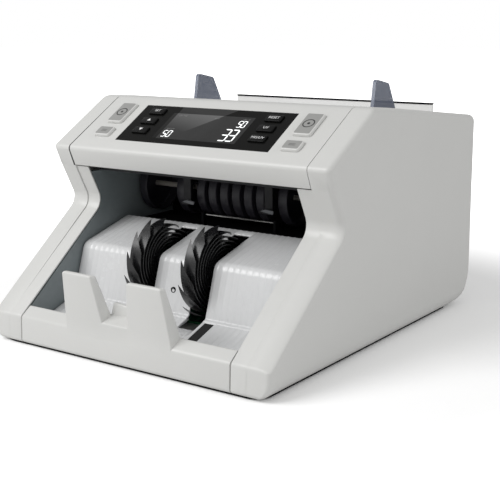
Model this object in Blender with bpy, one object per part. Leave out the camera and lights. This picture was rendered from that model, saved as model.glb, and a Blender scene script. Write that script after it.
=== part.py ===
"""Banknote counter: a desk machine with a note hopper on top and a stacker pocket in front.

Metres, +Z up, +Y towards the back, +X to the right of someone who stands in front.
Pieces are drawn with y measured from the front face of the foot. An empty named counter
carries them all and moves that origin to the middle of the footprint.
"""

import math

import bmesh
import bpy
import mathutils

# Clearances
GAP = 0.0003
SIDE_GAP = 0.0007
CUT_OVERRUN = 0.004
JOIN_OVERLAP = 0.0012

# Body outline, seen from the side
OPENING_HALF = 0.0948
STRIP_WIDTH = 0.0126
PANEL_WIDTH = 0.0176
SEAM_HALF = OPENING_HALF + STRIP_WIDTH
BODY_WIDTH = 2 * (SEAM_HALF + PANEL_WIDTH)
UNDERSIDE_Z = 0.0015
FOOT_LEAN = 0.001
FOOT_TOP_Z = 0.0215
FOOT_DEPTH = 0.012
CREST_Y = 0.0097
CREST_Z = 0.0276
WAIST_Y = 0.0893
WAIST_Z = 0.0932
LIP_Y = 0.0747
LIP_Z = 0.1226
NOSE_Y = 0.0685
NOSE_Z = 0.1374
BROW_Y = 0.1279
BROW_Z = 0.1724
CROWN_Y = 0.158
CROWN_Z = 0.1702
TRAY_SETBACK = 0.011
HOPPER_LENGTH = 0.106
REAR_SPACE = 0.020
TRAY_FRONT_Y = CROWN_Y + TRAY_SETBACK
HOPPER_REAR_Y = TRAY_FRONT_Y + HOPPER_LENGTH
BODY_DEPTH = HOPPER_REAR_Y + REAR_SPACE
REAR_TOP_Z = 0.1548
FOOT_EDGE_RADIUS = 0.003
KINK_RADIUS = 0.0035
WAIST_RADIUS = 0.010
LIP_RADIUS = 0.002
NOSE_RADIUS = 0.0035
BROW_RADIUS = 0.012
REAR_TOP_RADIUS = 0.006
REAR_FOOT_RADIUS = 0.028
SIDE_EDGE_RADIUS = 0.005
BOTTOM_EDGE_RADIUS = 0.011
FOOT_SIDE_RADIUS = 0.0035
STRIP_EDGE_WIDTH = 0.012
STRIP_EDGE_DEPTH = 0.0025

# Shells
WALL = 0.003
THIN_WALL = 0.0025
SHEET = 0.002
PLATE = 0.0015
STRIP_STEP = 0.001
STRIP_WALL = 0.0012

# Hood
HOOD_WALL = 0.0028
HOOD_SEAM = 0.0005
HOOD_REAR_Y = CROWN_Y - HOOD_SEAM
HOOD_FLOOR_Z = 0.1256
HOOD_FLOOR_Y = 0.095

# Front cover and its note fence
COVER_BACK_Y = 0.015
COVER_SHOULDER_Y = 0.0142
COVER_SHOULDER_Z = 0.0258
FENCE_REACH = 0.0045
FENCE_TOP_Z = 0.063
FENCE_TOP_THICKNESS = 0.0047
FENCE_FOOT_Z = 0.0205
FENCE_FOOT_BACK_Y = 0.0115
FENCE_FOOT_BACK_Z = 0.0255
FENCE_OUTER_FOOT = 0.0492
FENCE_OUTER_TOP = 0.0458
FENCE_INNER_FOOT = 0.0099
FENCE_INNER_TOP = 0.0158
FENCE_ROUND = 0.0016
FENCE_TIP_LOSS = 0.000213
WEB_FRONT_Z = 0.0305
WEB_BACK_Z = 0.0338
WEB_SETBACK = 0.0006

# Stacker pocket
FACE_FOOT_Y = 0.0556
FACE_FOOT_Z = 0.0268
DECK_CORNER_Y = 0.0675
DECK_CORNER_Z = 0.0645
DECK_CORNER_RADIUS = 0.009
DECK_REAR_Y = 0.1188
DECK_REAR_Z = 0.0787
DECK_LIP_Z = 0.066
FLOOR_FRONT_Z = 0.0126
SLOT_INNER = 0.0175
SLOT_OUTER = 0.0325
SLOT_FRONT_Y = 0.042
SLOT_REAR_Y = 0.111
WINDOW_LEFT = 0.035
WINDOW_RIGHT = 0.043
WINDOW_FRONT_Y = 0.030
WINDOW_REAR_Y = 0.052
SENSOR_Z = 0.042
SENSOR_RADIUS = 0.0016

# Stacker wheels
STACKER_Y = 0.0795
STACKER_Z = 0.0525
WHEEL_RADIUS = 0.036
WHEEL_INNER = 0.0185
WHEEL_WIDTH = 0.013
HUB_RADIUS = 0.0105
FIN_COUNT = 13
FIN_THICKNESS = 0.0009
FIN_WRAP = math.radians(235)
FIN_TIP_CUT = math.radians(28)
FIN_STEPS = 12
SHAFT_RADIUS = 0.002
BORE_CLEARANCE = 0.0003

# Transport drum
DRUM_Y = 0.150
DRUM_Z = 0.1005
DRUM_RADIUS = 0.0212
GROOVE_RADIUS = 0.0155
DISC_COUNT = 6
DISC_WIDTH = 0.0092
DISC_PITCH = 0.0112
SIDE_DISC_WIDTH = 0.009
SIDE_DISC_NEAR = 0.048
SIDE_DISC_INSET = 0.0078
SIDE_DISC_FAR = OPENING_HALF - SIDE_DISC_INSET
ROD_Y = 0.134
ROD_Z = 0.083
ROD_RADIUS = 0.0008
ROD_LEFT = -0.027
ROD_RIGHT = 0.038
ROD_POST = 0.0022
ROD_POST_FRONT_Y = 0.1315
ROD_POST_BACK_Y = 0.135
ROD_POST_TOP_Z = 0.085

# Guides in the note path
GUIDE_FRONT_Y = 0.088
GUIDE_REAR_Y = 0.1318
GUIDE_Z = 0.1185
FINGER_INNER = 0.0348
FINGER_OUTER = 0.0418
FINGER_Y = 0.1255
FINGER_FOOT_INNER = 0.0312
FINGER_FOOT_REACH = 0.003
FINGER_FOOT_Z = 0.0915
CAVITY_FLOOR_Z = 0.0715
CAVITY_BACK_Y = 0.1752
CAVITY_TOP_Z = 0.107
INNER_WALL_TOP_Z = 0.118
INNER_WALL_REAR_Y = 0.1795

# Hopper
HOPPER_MARGIN = 0.0027
HOPPER_HALF = OPENING_HALF + HOPPER_MARGIN
TRAY_REAR_Z = 0.1515
TRAY_FRONT_Z = 0.1285
TRAY_LIP_LENGTH = 0.004
TRAY_LIP_Y = TRAY_FRONT_Y - TRAY_LIP_LENGTH
TRAY_LIP_Z = 0.124
SKIRT_FRONT_Z = 0.130
TOP_FRAME_LIP_Z = 0.1465
BACKREST_TOP_Z = 0.1645
BACKREST_LEAN = 0.0008
BACKREST_THICKNESS = 0.0022

# Feed roller
FEED_SETBACK = 0.015
FEED_Y = TRAY_FRONT_Y + FEED_SETBACK
FEED_Z = 0.1217
FEED_RADIUS = 0.012
FEED_ROLLER_WIDTH = 0.024
FEED_ROLLER_PLACE = 0.030

# Hopper side guides
PINION_SETBACK = 0.0245
PINION_Y = FEED_Y + PINION_SETBACK
FIN_INSET = 0.013
FIN_PLACE = HOPPER_HALF - FIN_INSET
FIN_PLATE = 0.003
FIN_AHEAD = 0.0165
FIN_BEHIND = 0.0245
FIN_BASE_FRONT_Y = PINION_Y - FIN_AHEAD
FIN_BASE_REAR_Y = PINION_Y + FIN_BEHIND
FIN_SHOULDER_Z = 0.160
FIN_NECK_STEP = 0.003
FIN_NECK_FRONT_Y = FIN_BASE_FRONT_Y + FIN_NECK_STEP
FIN_NECK_REAR_Y = FIN_BASE_REAR_Y - FIN_NECK_STEP
FIN_FRONT_TAPER = 0.004
FIN_REAR_TAPER = 0.011
FIN_TOP_FRONT_Y = FIN_NECK_FRONT_Y + FIN_FRONT_TAPER
FIN_TOP_REAR_Y = FIN_NECK_REAR_Y - FIN_REAR_TAPER
FIN_TOP_Z = 0.187
FIN_REAR_Z = 0.183
FIN_FOOT_WIDTH = 0.008
FIN_FOOT_HEIGHT = 0.003
FIN_TRAVEL_OUT = 0.009
FIN_TRAVEL_IN = 0.0295
PINION_Z = 0.1275
PINION_RADIUS = 0.006
PINION_TEETH = 12
TOOTH_REACH = 0.001
RACK_THICKNESS = 0.003
RACK_WIDTH = 0.0025
RACK_PAST_PINION = 0.014

# Control panel, in the plane of the hood's slope
BUTTON_INSET = 0.0093
BUTTON_PLACE = OPENING_HALF - BUTTON_INSET
DISPLAY_TO_BUTTON = 0.0162
DISPLAY_HALF = BUTTON_PLACE - DISPLAY_TO_BUTTON
KEY_INSET = 0.0158
KEY_PLACE = DISPLAY_HALF - KEY_INSET
DISPLAY_LOW = 0.0132
DISPLAY_HIGH = 0.0580
SCREEN_TO_KEY = 0.0167
SCREEN_HALF = KEY_PLACE - SCREEN_TO_KEY
SCREEN_LOW = 0.0195
SCREEN_HIGH = 0.0492
SCREEN_RECESS = 0.0006
SCREEN_DEPTH = 0.0057
BOARD_DEPTH = 0.006
BOARD_THICKNESS = 0.0016
BOARD_MARGIN = 0.0032
BOARD_HALF = OPENING_HALF + BOARD_MARGIN
BOARD_LOW = 0.012
BOARD_HIGH = 0.060
KEY_ROWS = (0.0262, 0.0380, 0.0500)
KEY_WIDTH = 0.014
KEY_HEIGHT = 0.0072
KEY_PROUD = 0.0013
KEY_TAIL = 0.0052
KEY_CORNER = 0.0012
BUTTON_WIDTH = 0.0146
LARGE_BUTTON_V = 0.04475
LARGE_BUTTON_HEIGHT = 0.0245
SMALL_BUTTON_V = 0.02075
SMALL_BUTTON_HEIGHT = 0.0105
BUTTON_PROUD = 0.0018
BUTTON_TAIL = 0.0050
BUTTON_CORNER = 0.0018

# Drive
CHASSIS_MARGIN = 0.0042
CHASSIS_INNER = OPENING_HALF + CHASSIS_MARGIN
CHASSIS_FRONT_Y = 0.060
CHASSIS_FRONT_Z = 0.058
CHASSIS_STEP_Y = 0.104
CHASSIS_STEP_Z = 0.092
CHASSIS_NECK_Y = 0.160
CHASSIS_SHOULDER_Y = 0.174
CHASSIS_SHOULDER_Z = 0.1295
CHASSIS_TOP_Y = 0.200
CHASSIS_TOP_Z = 0.130
CHASSIS_REAR_GAP = 0.011
CHASSIS_REAR_Y = BODY_DEPTH - CHASSIS_REAR_GAP
CHASSIS_REAR_TOP_Z = 0.126
CHASSIS_REAR_FOOT_Z = 0.036
CHASSIS_CORNER_GAP = 0.040
CHASSIS_CORNER_Y = BODY_DEPTH - CHASSIS_CORNER_GAP
PULLEY_GAP = 0.001
PULLEY_WIDTH = 0.005
PULLEY_FLANGE = 0.001
MOTOR_Y = 0.215
MOTOR_Z = 0.045
MOTOR_RADIUS = 0.020
MOTOR_LENGTH = 0.046
MOTOR_BOSS_RADIUS = 0.006
MOTOR_BOSS_LENGTH = 0.0035
MOTOR_SHAFT_RADIUS = 0.0025
MOTOR_PULLEY_RADIUS = 0.006
DRUM_PULLEY_RADIUS = 0.012
FEED_PULLEY_RADIUS = 0.010
DRUM_SMALL_PULLEY_RADIUS = 0.009
STACKER_PULLEY_RADIUS = 0.018
BELT_THICKNESS = 0.001
BELT_WIDTH = 0.004

# Electrics and rear face
BOARD_FRONT_Y = 0.100
MAIN_BOARD_MARGIN = 0.0098
MAIN_BOARD_HALF = OPENING_HALF - MAIN_BOARD_MARGIN
CHIP_HEIGHT = 0.004
SUPPLY_MARGIN = 0.0048
SUPPLY_WIDTH = 0.075
SUPPLY_LEFT = SUPPLY_MARGIN - OPENING_HALF
SUPPLY_RIGHT = SUPPLY_LEFT + SUPPLY_WIDTH
SUPPLY_REAR_GAP = 0.033
SUPPLY_LENGTH = 0.067
SUPPLY_REAR_Y = BODY_DEPTH - SUPPLY_REAR_GAP
SUPPLY_FRONT_Y = SUPPLY_REAR_Y - SUPPLY_LENGTH
SUPPLY_TOP_Z = 0.045
BOARD_TO_SUPPLY = 0.010
BOARD_REAR_Y = SUPPLY_FRONT_Y - BOARD_TO_SUPPLY
REAR_COVER_TOP_Z = 0.1462
REAR_COVER_REACH = 0.037
REAR_COVER_FRONT_Y = BODY_DEPTH - REAR_COVER_REACH
INLET_INSET = 0.0238
INLET_X = INLET_INSET - OPENING_HALF
INLET_WIDTH = 0.028
INLET_HEIGHT = 0.021
INLET_Z = 0.078
INLET_DEPTH = 0.022
SOCKET_WIDTH = 0.021
SOCKET_HEIGHT = 0.014
SOCKET_DEPTH = 0.014
REAR_RECESS = 0.0006
SWITCH_SPACING = 0.030
SWITCH_X = INLET_X + SWITCH_SPACING
SWITCH_WIDTH = 0.0125
SWITCH_HEIGHT = 0.018
SWITCH_DEPTH = 0.011
SWITCH_BULGE = 0.0012
SWITCH_CLEARANCE = 0.0012
SWITCH_TILT = math.radians(7)
VENT_COUNT = 7
VENT_WIDTH = 0.003
VENT_PITCH = 0.008
VENT_LOW_Z = 0.060
VENT_HIGH_Z = 0.110
VENT_INSET = 0.0548
VENT_X = OPENING_HALF - VENT_INSET

# Base
PAN_FRONT_Y = 0.0156
PAN_REAR_Y = REAR_COVER_FRONT_Y - GAP
RUBBER_FOOT_RADIUS = 0.009
FOOT_STEM_RADIUS = 0.003
FOOT_STEM_RISE = 0.0024
FOOT_INSET = 0.0068
FOOT_X = OPENING_HALF - FOOT_INSET
FOOT_FRONT_Y = 0.032
FOOT_REAR_GAP = 0.049
FOOT_REAR_Y = BODY_DEPTH - FOOT_REAR_GAP
PAN_SLOT_COUNT = 5
PAN_SLOT_PITCH = 0.010
PAN_SLOT_LENGTH = 0.050
PAN_SLOT_WIDTH = 0.003
PAN_SLOT_FRONT_Y = 0.110

# Finishes: colour, roughness, metallic
SHELL_WHITE = ((0.69, 0.69, 0.67), 0.42, 0.0)
POCKET_WHITE = ((0.74, 0.74, 0.74), 0.25, 0.0)
WALL_GREY = ((0.12, 0.15, 0.16), 0.45, 0.0)
BLACK_PLASTIC = ((0.012, 0.012, 0.014), 0.45, 0.0)
CHARCOAL = ((0.030, 0.030, 0.032), 0.55, 0.0)
RUBBER_BLACK = ((0.015, 0.015, 0.016), 0.60, 0.0)
PANEL_BLACK = ((0.016, 0.016, 0.015), 0.22, 0.0)
SCREEN_GREY = ((0.045, 0.045, 0.045), 0.15, 0.0)
KEY_BLACK = ((0.020, 0.020, 0.020), 0.40, 0.0)
BUTTON_GREY = ((0.36, 0.36, 0.35), 0.42, 0.0)
SMOKE_BLUE = ((0.15, 0.17, 0.23), 0.30, 0.0)
STEEL = ((0.60, 0.60, 0.58), 0.25, 1.0)
ZINC_SHEET = ((0.50, 0.51, 0.52), 0.40, 1.0)
BOARD_GREEN = ((0.02, 0.16, 0.06), 0.40, 0.0)
BELT_BLACK = ((0.020, 0.020, 0.020), 0.70, 0.0)

# Places worked out from the sizes above
PANEL_OUTER = BODY_WIDTH / 2
PANEL_INNER = SEAM_HALF
BETWEEN_PANELS = SEAM_HALF - GAP
BETWEEN_WALLS = OPENING_HALF - SIDE_GAP / 2
STRIP_INNER = OPENING_HALF + SIDE_GAP / 2
ORIGIN_BACK = (BODY_DEPTH - FENCE_REACH + FENCE_TIP_LOSS) / 2
SLOPE_ANGLE = math.atan2(BROW_Z - NOSE_Z, BROW_Y - NOSE_Y)
PAN_TOP_Z = UNDERSIDE_Z + WALL
CHASSIS_OUTER = CHASSIS_INNER + PLATE
PULLEY_INNER = CHASSIS_OUTER + PULLEY_GAP
PULLEY_OUTER = PULLEY_INNER + PULLEY_WIDTH
SHAFT_HALF = PULLEY_OUTER + GAP
SHAFT_BORE = SHAFT_RADIUS + BORE_CLEARANCE

origin = None


def clear_scene():
    """Remove what the new file came with."""
    for item in list(bpy.data.objects):
        bpy.data.objects.remove(item, do_unlink=True)


def finish_material(name, finish):
    """A Principled material from a finish: colour, roughness and metallic."""
    colour, roughness, metallic = finish
    material = bpy.data.materials.new(name + "_finish")
    material.use_nodes = True
    shader = material.node_tree.nodes["Principled BSDF"]
    shader.inputs["Base Color"].default_value = (*colour, 1.0)
    shader.inputs["Roughness"].default_value = roughness
    shader.inputs["Metallic"].default_value = metallic
    material.diffuse_color = (*colour, 1.0)
    return material


def add_object(name, mesh_data, finish, place=(0, 0, 0)):
    """Turn a bmesh into an object that hangs on the origin empty."""
    bmesh.ops.recalc_face_normals(mesh_data, faces=mesh_data.faces)
    mesh = bpy.data.meshes.new(name)
    mesh_data.to_mesh(mesh)
    mesh_data.free()
    if finish:
        mesh.materials.append(finish_material(name, finish))
    piece = bpy.data.objects.new(name, mesh)
    bpy.context.collection.objects.link(piece)
    piece.parent = origin
    piece.location = place
    return piece


def hide_tool(piece):
    """Mark a cutter or a shape that is joined to another, so that it is left out."""
    piece.hide_render = True
    piece.display_type = "WIRE"
    return piece


def cut(target, tool):
    """Take the tool's volume out of the target."""
    modifier = target.modifiers.new("cut_" + tool.name, "BOOLEAN")
    modifier.operation = "DIFFERENCE"
    modifier.object = hide_tool(tool)


def join(target, tool):
    """Add the tool's volume to the target."""
    modifier = target.modifiers.new("join_" + tool.name, "BOOLEAN")
    modifier.operation = "UNION"
    modifier.object = hide_tool(tool)


def shade_round(piece):
    """Smooth shading that keeps the edges sharp."""
    piece.data.shade_smooth()
    piece.data.set_sharp_from_angle(angle=math.radians(35))


def crossing(first, first_way, second, second_way):
    """Where two lines, each a point and a direction, cross in their plane."""
    turn = first_way.x * second_way.y - first_way.y * second_way.x
    offset = second - first
    along = (offset.x * second_way.y - offset.y * second_way.x) / turn
    return first + first_way * along


def per_side(corners, distance):
    """One distance for each side of an outline, from a list or from a single value."""
    return distance if isinstance(distance, list) else [distance] * len(corners)


def inset(corners, distance):
    """Move the sides of an outline, given anticlockwise, inwards by a distance or by one distance each."""
    points = [mathutils.Vector(corner) for corner in corners]
    distances = per_side(corners, distance)
    result = []
    for index, point in enumerate(points):
        before = (point - points[index - 1]).normalized()
        after = (points[(index + 1) % len(points)] - point).normalized()
        inward_before = mathutils.Vector((-before.y, before.x)) * distances[index - 1]
        inward_after = mathutils.Vector((-after.y, after.x)) * distances[index]
        result.append(crossing(point + inward_before, before, point + inward_after, after))
    return [tuple(point) for point in result]


def inset_radii(corners, radii, distance):
    """The corner radii that go with an inset outline."""
    points = [mathutils.Vector(corner) for corner in corners]
    distances = per_side(corners, distance)
    result = []
    for index, radius in enumerate(radii):
        before = points[index] - points[index - 1]
        after = points[(index + 1) % len(points)] - points[index]
        bulges = before.x * after.y - before.y * after.x > 0
        moved = (distances[index - 1] + distances[index]) / 2
        changed = max(radius - moved, radius / 8) if bulges else radius + moved
        result.append(changed if radius else 0)
    return result


def spread(values, radii, steps):
    """One value for each side, given to the points of the rounded outline and blended round its corners."""
    result = []
    for index, radius in enumerate(radii):
        before, after = values[index - 1], values[index]
        shares = [step / steps for step in range(steps + 1)] if radius else [1 / 2]
        result += [before + (after - before) * share for share in shares]
    return result


def rounded(corners, radii, steps):
    """An outline whose corners are arcs of the given radii, a radius of zero staying sharp."""
    points = [mathutils.Vector(corner) for corner in corners]
    outline = []
    for index, (point, radius) in enumerate(zip(points, radii)):
        if not radius:
            outline.append(tuple(point))
            continue
        back = (points[index - 1] - point).normalized()
        ahead = (points[(index + 1) % len(points)] - point).normalized()
        half = back.angle(ahead) / 2
        centre = point + (back + ahead).normalized() * (radius / math.sin(half))
        start = point + back * (radius / math.tan(half)) - centre
        turn = mathutils.Vector.angle_signed(start, point + ahead * (radius / math.tan(half)) - centre)
        for step in range(steps + 1):
            swing = mathutils.Matrix.Rotation(-turn * step / steps, 2)
            outline.append(tuple(centre + swing @ start))
    return outline


def at_height(first, second, height):
    """The point at a height on the line through two points of a side view."""
    share = (height - first[1]) / (second[1] - first[1])
    return (first[0] + (second[0] - first[0]) * share, height)


def at_depth(first, second, depth):
    """The point at a depth on the line through two points of a side view."""
    share = (depth - first[0]) / (second[0] - first[0])
    return (depth, first[1] + (second[1] - first[1]) * share)


def lofted(name, rings, finish, place=(0, 0, 0)):
    """A closed solid through rings of points, all with as many points, and flat ends."""
    mesh_data = bmesh.new()
    rows = [[mesh_data.verts.new(point) for point in ring] for ring in rings]
    for row, next_row in zip(rows, rows[1:]):
        for index in range(len(row)):
            corner = index - 1
            mesh_data.faces.new((row[corner], row[index], next_row[index], next_row[corner]))
    mesh_data.faces.new(rows[0])
    mesh_data.faces.new(rows[-1])
    return add_object(name, mesh_data, finish, place)


def prism(name, outline, low, high, finish, axis="X", place=(0, 0, 0)):
    """Extrude an outline between two places on an axis.

    Seen from the side the outline is (y, z), from above (x, y), from the front (x, z).
    """
    order = {"X": lambda a, b, c: (c, a, b), "Y": lambda a, b, c: (a, c, b), "Z": lambda a, b, c: (a, b, c)}
    spot = order[axis]
    rings = [[spot(a, b, level) for a, b in outline] for level in (low, high)]
    return lofted(name, rings, finish, place)


def block(name, x_range, y_range, z_range, finish, place=(0, 0, 0)):
    """A box between three pairs of places."""
    outline = [(x, y) for x, y in zip((x_range[0], x_range[1], x_range[1], x_range[0]), sorted(y_range * 2))]
    return prism(name, outline, z_range[0], z_range[1], finish, "Z", place)


def mirrored(side, low, high):
    """A range on the right-hand side, or its mirror image on the left."""
    return (low, high) if side > 0 else (-high, -low)


def turned(name, profile, finish, place=(0, 0, 0), steps=24, closed=False, axis="X"):
    """Spin a profile of (place along the axis, radius) about the axis."""
    mesh_data = bmesh.new()
    spots = [mesh_data.verts.new((along, 0, radius)) for along, radius in profile]
    pairs = list(zip(spots, spots[1:]))
    if closed:
        pairs.append((spots[-1], spots[0]))
    edges = [mesh_data.edges.new(pair) for pair in pairs]
    bmesh.ops.spin(
        mesh_data, geom=spots + edges, cent=(0, 0, 0), axis=(1, 0, 0), dvec=(0, 0, 0), angle=math.tau, steps=steps
    )
    bmesh.ops.remove_doubles(mesh_data, verts=mesh_data.verts, dist=GAP / 100)
    bmesh.ops.dissolve_degenerate(mesh_data, edges=mesh_data.edges, dist=GAP / 100)
    if axis == "Z":
        upright = mathutils.Matrix.Rotation(-math.pi / 2, 3, "Y")
        bmesh.ops.rotate(mesh_data, verts=mesh_data.verts, cent=(0, 0, 0), matrix=upright)
    piece = add_object(name, mesh_data, finish, place)
    shade_round(piece)
    return piece


def split_faces(piece):
    """Split a piece's twisted faces into flat triangles."""
    mesh_data = bmesh.new()
    mesh_data.from_mesh(piece.data)
    bmesh.ops.triangulate(mesh_data, faces=mesh_data.faces)
    mesh_data.to_mesh(piece.data)
    mesh_data.free()


def rod(name, x_range, radius, finish, place, steps=16):
    """A plain round bar along X."""
    low, high = x_range
    return turned(name, [(low, 0), (low, radius), (high, radius), (high, 0)], finish, place, steps)


def on_slope(u, v, w):
    """A point of the hood's slope: u across, v up the slope from the nose, w out of it."""
    y = NOSE_Y + v * math.cos(SLOPE_ANGLE) - w * math.sin(SLOPE_ANGLE)
    z = NOSE_Z + v * math.sin(SLOPE_ANGLE) + w * math.cos(SLOPE_ANGLE)
    return (u, y, z)


def slope_block(name, size, centre, depth_range, corner, finish):
    """A block lying in the slope, with round corners, its origin on its middle."""
    half_u, half_v = size[0] / 2, size[1] / 2
    corners = [(-half_u, -half_v), (half_u, -half_v), (half_u, half_v), (-half_u, half_v)]
    outline = rounded(corners, [corner] * 4, 3) if corner else corners
    piece = prism(name, outline, depth_range[0], depth_range[1], finish, "Z", on_slope(centre[0], centre[1], 0))
    piece.rotation_euler = (SLOPE_ANGLE, 0, 0)
    return piece


def body_outline():
    """The side view of the body, anticlockwise from the front foot, and its corner radii."""
    corners = [
        (0, UNDERSIDE_Z),
        (BODY_DEPTH, UNDERSIDE_Z),
        (BODY_DEPTH, REAR_TOP_Z),
        (CROWN_Y, CROWN_Z),
        (BROW_Y, BROW_Z),
        (NOSE_Y, NOSE_Z),
        (LIP_Y, LIP_Z),
        (WAIST_Y, WAIST_Z),
        (FOOT_LEAN, FOOT_TOP_Z),
    ]
    radii = [
        FOOT_EDGE_RADIUS,
        REAR_FOOT_RADIUS,
        REAR_TOP_RADIUS,
        0,
        BROW_RADIUS,
        NOSE_RADIUS,
        LIP_RADIUS,
        WAIST_RADIUS,
        KINK_RADIUS,
    ]
    return corners, radii


def under_curve(z):
    """How far the outer side curves in at a height, towards the underside."""
    short = max(0, BOTTOM_EDGE_RADIUS - (z - UNDERSIDE_Z))
    return BOTTOM_EDGE_RADIUS - math.sqrt(BOTTOM_EDGE_RADIUS ** 2 - min(short, BOTTOM_EDGE_RADIUS) ** 2)


def with_foot_points(outline):
    """The body's outline with three more points down the front of the foot."""
    (last_y, last_z), (first_y, first_z) = outline[-1], outline[0]
    foot_shares = (0.35, 0.6, 0.82)
    return outline + [(last_y + (first_y - last_y) * s, last_z + (first_z - last_z) * s) for s in foot_shares]


def side_panel(name, side):
    """An outer side shell with rounded outer edges, hollow towards the middle, its front strip and foot."""
    corners, radii = body_outline()
    plain = [SIDE_EDGE_RADIUS] * (len(corners) - 3)
    depths = [BOTTOM_EDGE_RADIUS] + plain + [STRIP_EDGE_DEPTH, FOOT_SIDE_RADIUS]
    widths = [0] + plain + [STRIP_EDGE_WIDTH, FOOT_SIDE_RADIUS]
    outline = with_foot_points(rounded(corners, radii, 4))
    edge_widths = spread(widths, radii, 4)
    edge_widths += [FOOT_SIDE_RADIUS] * (len(outline) - len(edge_widths))
    rings = [[(side * PANEL_INNER, y, z) for y, z in outline]]
    for quarter_share in (0, 1 / 3, 2 / 3, 1):
        angle = quarter_share * math.pi / 2
        drops = [depth * (1 - math.cos(angle)) for depth in depths]
        outline = with_foot_points(rounded(inset(corners, drops), inset_radii(corners, radii, drops), 4))
        places = [PANEL_OUTER - width * (1 - math.sin(angle)) for width in edge_widths]
        rings.append([(side * (x - under_curve(z)), y, z) for x, (y, z) in zip(places, outline)])
    panel = lofted(name, rings, SHELL_WHITE)
    walls = [BOTTOM_EDGE_RADIUS / 2] + [WALL] * (len(corners) - 1)
    hollow = rounded(inset(corners, walls), inset_radii(corners, radii, walls), 4)
    low, high = mirrored(side, PANEL_INNER - CUT_OVERRUN, PANEL_OUTER - WALL)
    cut(panel, prism(name + "_hollow", hollow, low, high, None))
    low, high = mirrored(side, STRIP_INNER, PANEL_INNER + JOIN_OVERLAP)
    join(panel, prism(name + "_strip", front_strip(), low, high, None))
    foot = [
        (0, UNDERSIDE_Z + FOOT_EDGE_RADIUS),
        (FOOT_EDGE_RADIUS, UNDERSIDE_Z),
        (FOOT_DEPTH, UNDERSIDE_Z),
        (FOOT_DEPTH, FOOT_TOP_Z),
        (FOOT_LEAN, FOOT_TOP_Z),
    ]
    join(panel, prism(name + "_foot", foot, low, high, None))
    return panel


def front_line(distance):
    """The front of the body from foot to lip, set back by a distance: foot, waist and lip points."""
    corners = body_outline()[0]
    moved = inset(corners, distance)
    return moved[8], moved[7], moved[6]


def front_strip():
    """Side view of the thin strip beside the opening, which sinks below the panel from foot to waist."""
    front_foot = body_outline()[0][8]
    front_waist, front_lip = front_line(STRIP_STEP)[1:]
    back_foot = front_line(STRIP_WALL)[0]
    back_waist, back_lip = front_line(STRIP_STEP + STRIP_WALL)[1:]
    top_z = LIP_Z - SIDE_GAP
    corners = [
        front_foot,
        at_height(back_foot, back_waist, FOOT_TOP_Z - STRIP_WALL),
        back_waist,
        at_height(back_waist, back_lip, top_z),
        at_height(front_waist, front_lip, top_z),
        front_waist,
    ]
    radii = [0, 0, WAIST_RADIUS + STRIP_STEP + STRIP_WALL, 0, 0, WAIST_RADIUS + STRIP_STEP]
    return rounded(corners, radii, 4)


def shaft_hole(name, place, radius):
    """A round cutter along X that clears both side walls."""
    reach = PANEL_OUTER + CUT_OVERRUN
    return rod(name, (-reach, reach), radius, None, (0, place[0], place[1]))


def inner_wall(name, side):
    """The dark side wall of the stacker pocket, behind the strip."""
    behind = STRIP_STEP + STRIP_WALL + GAP
    foot, waist, lip = front_line(behind)
    bottom = PAN_TOP_Z + GAP
    corners = [
        (PAN_FRONT_Y, bottom),
        (INNER_WALL_REAR_Y, bottom),
        (INNER_WALL_REAR_Y, INNER_WALL_TOP_Z),
        at_height(waist, lip, INNER_WALL_TOP_Z),
        waist,
        at_height(foot, waist, FOOT_TOP_Z + GAP),
        (PAN_FRONT_Y, FOOT_TOP_Z + GAP),
    ]
    radii = [0, 0, 0, 0, WAIST_RADIUS + behind, 0, 0]
    low, high = mirrored(side, STRIP_INNER, STRIP_INNER + SHEET)
    wall = prism(name, rounded(corners, radii, 4), low, high, WALL_GREY)
    cut(wall, shaft_hole(name + "_stacker_hole", (STACKER_Y, STACKER_Z), SHAFT_BORE))
    cut(wall, shaft_hole(name + "_drum_hole", (DRUM_Y, DRUM_Z), SHAFT_BORE))
    return wall


def chassis_plate(name, side):
    """The steel side frame that carries the three shafts and the motor."""
    bottom = PAN_TOP_Z + GAP
    corners = [
        (CHASSIS_FRONT_Y, bottom),
        (CHASSIS_CORNER_Y, bottom),
        (CHASSIS_REAR_Y, CHASSIS_REAR_FOOT_Z),
        (CHASSIS_REAR_Y, CHASSIS_REAR_TOP_Z),
        (CHASSIS_TOP_Y, CHASSIS_TOP_Z),
        (CHASSIS_SHOULDER_Y, CHASSIS_SHOULDER_Z),
        (CHASSIS_NECK_Y, INNER_WALL_TOP_Z),
        (CHASSIS_STEP_Y, INNER_WALL_TOP_Z),
        (CHASSIS_STEP_Y, CHASSIS_STEP_Z),
        (CHASSIS_FRONT_Y, CHASSIS_FRONT_Z),
    ]
    low, high = mirrored(side, CHASSIS_INNER, CHASSIS_OUTER)
    plate = prism(name, corners, low, high, ZINC_SHEET)
    for label, place in (("stacker", (STACKER_Y, STACKER_Z)), ("drum", (DRUM_Y, DRUM_Z)), ("feed", (FEED_Y, FEED_Z))):
        cut(plate, shaft_hole(name + "_" + label, place, SHAFT_BORE))
    if side > 0:
        cut(plate, shaft_hole(name + "_motor", (MOTOR_Y, MOTOR_Z), MOTOR_BOSS_RADIUS + GAP))
    return plate


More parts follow.
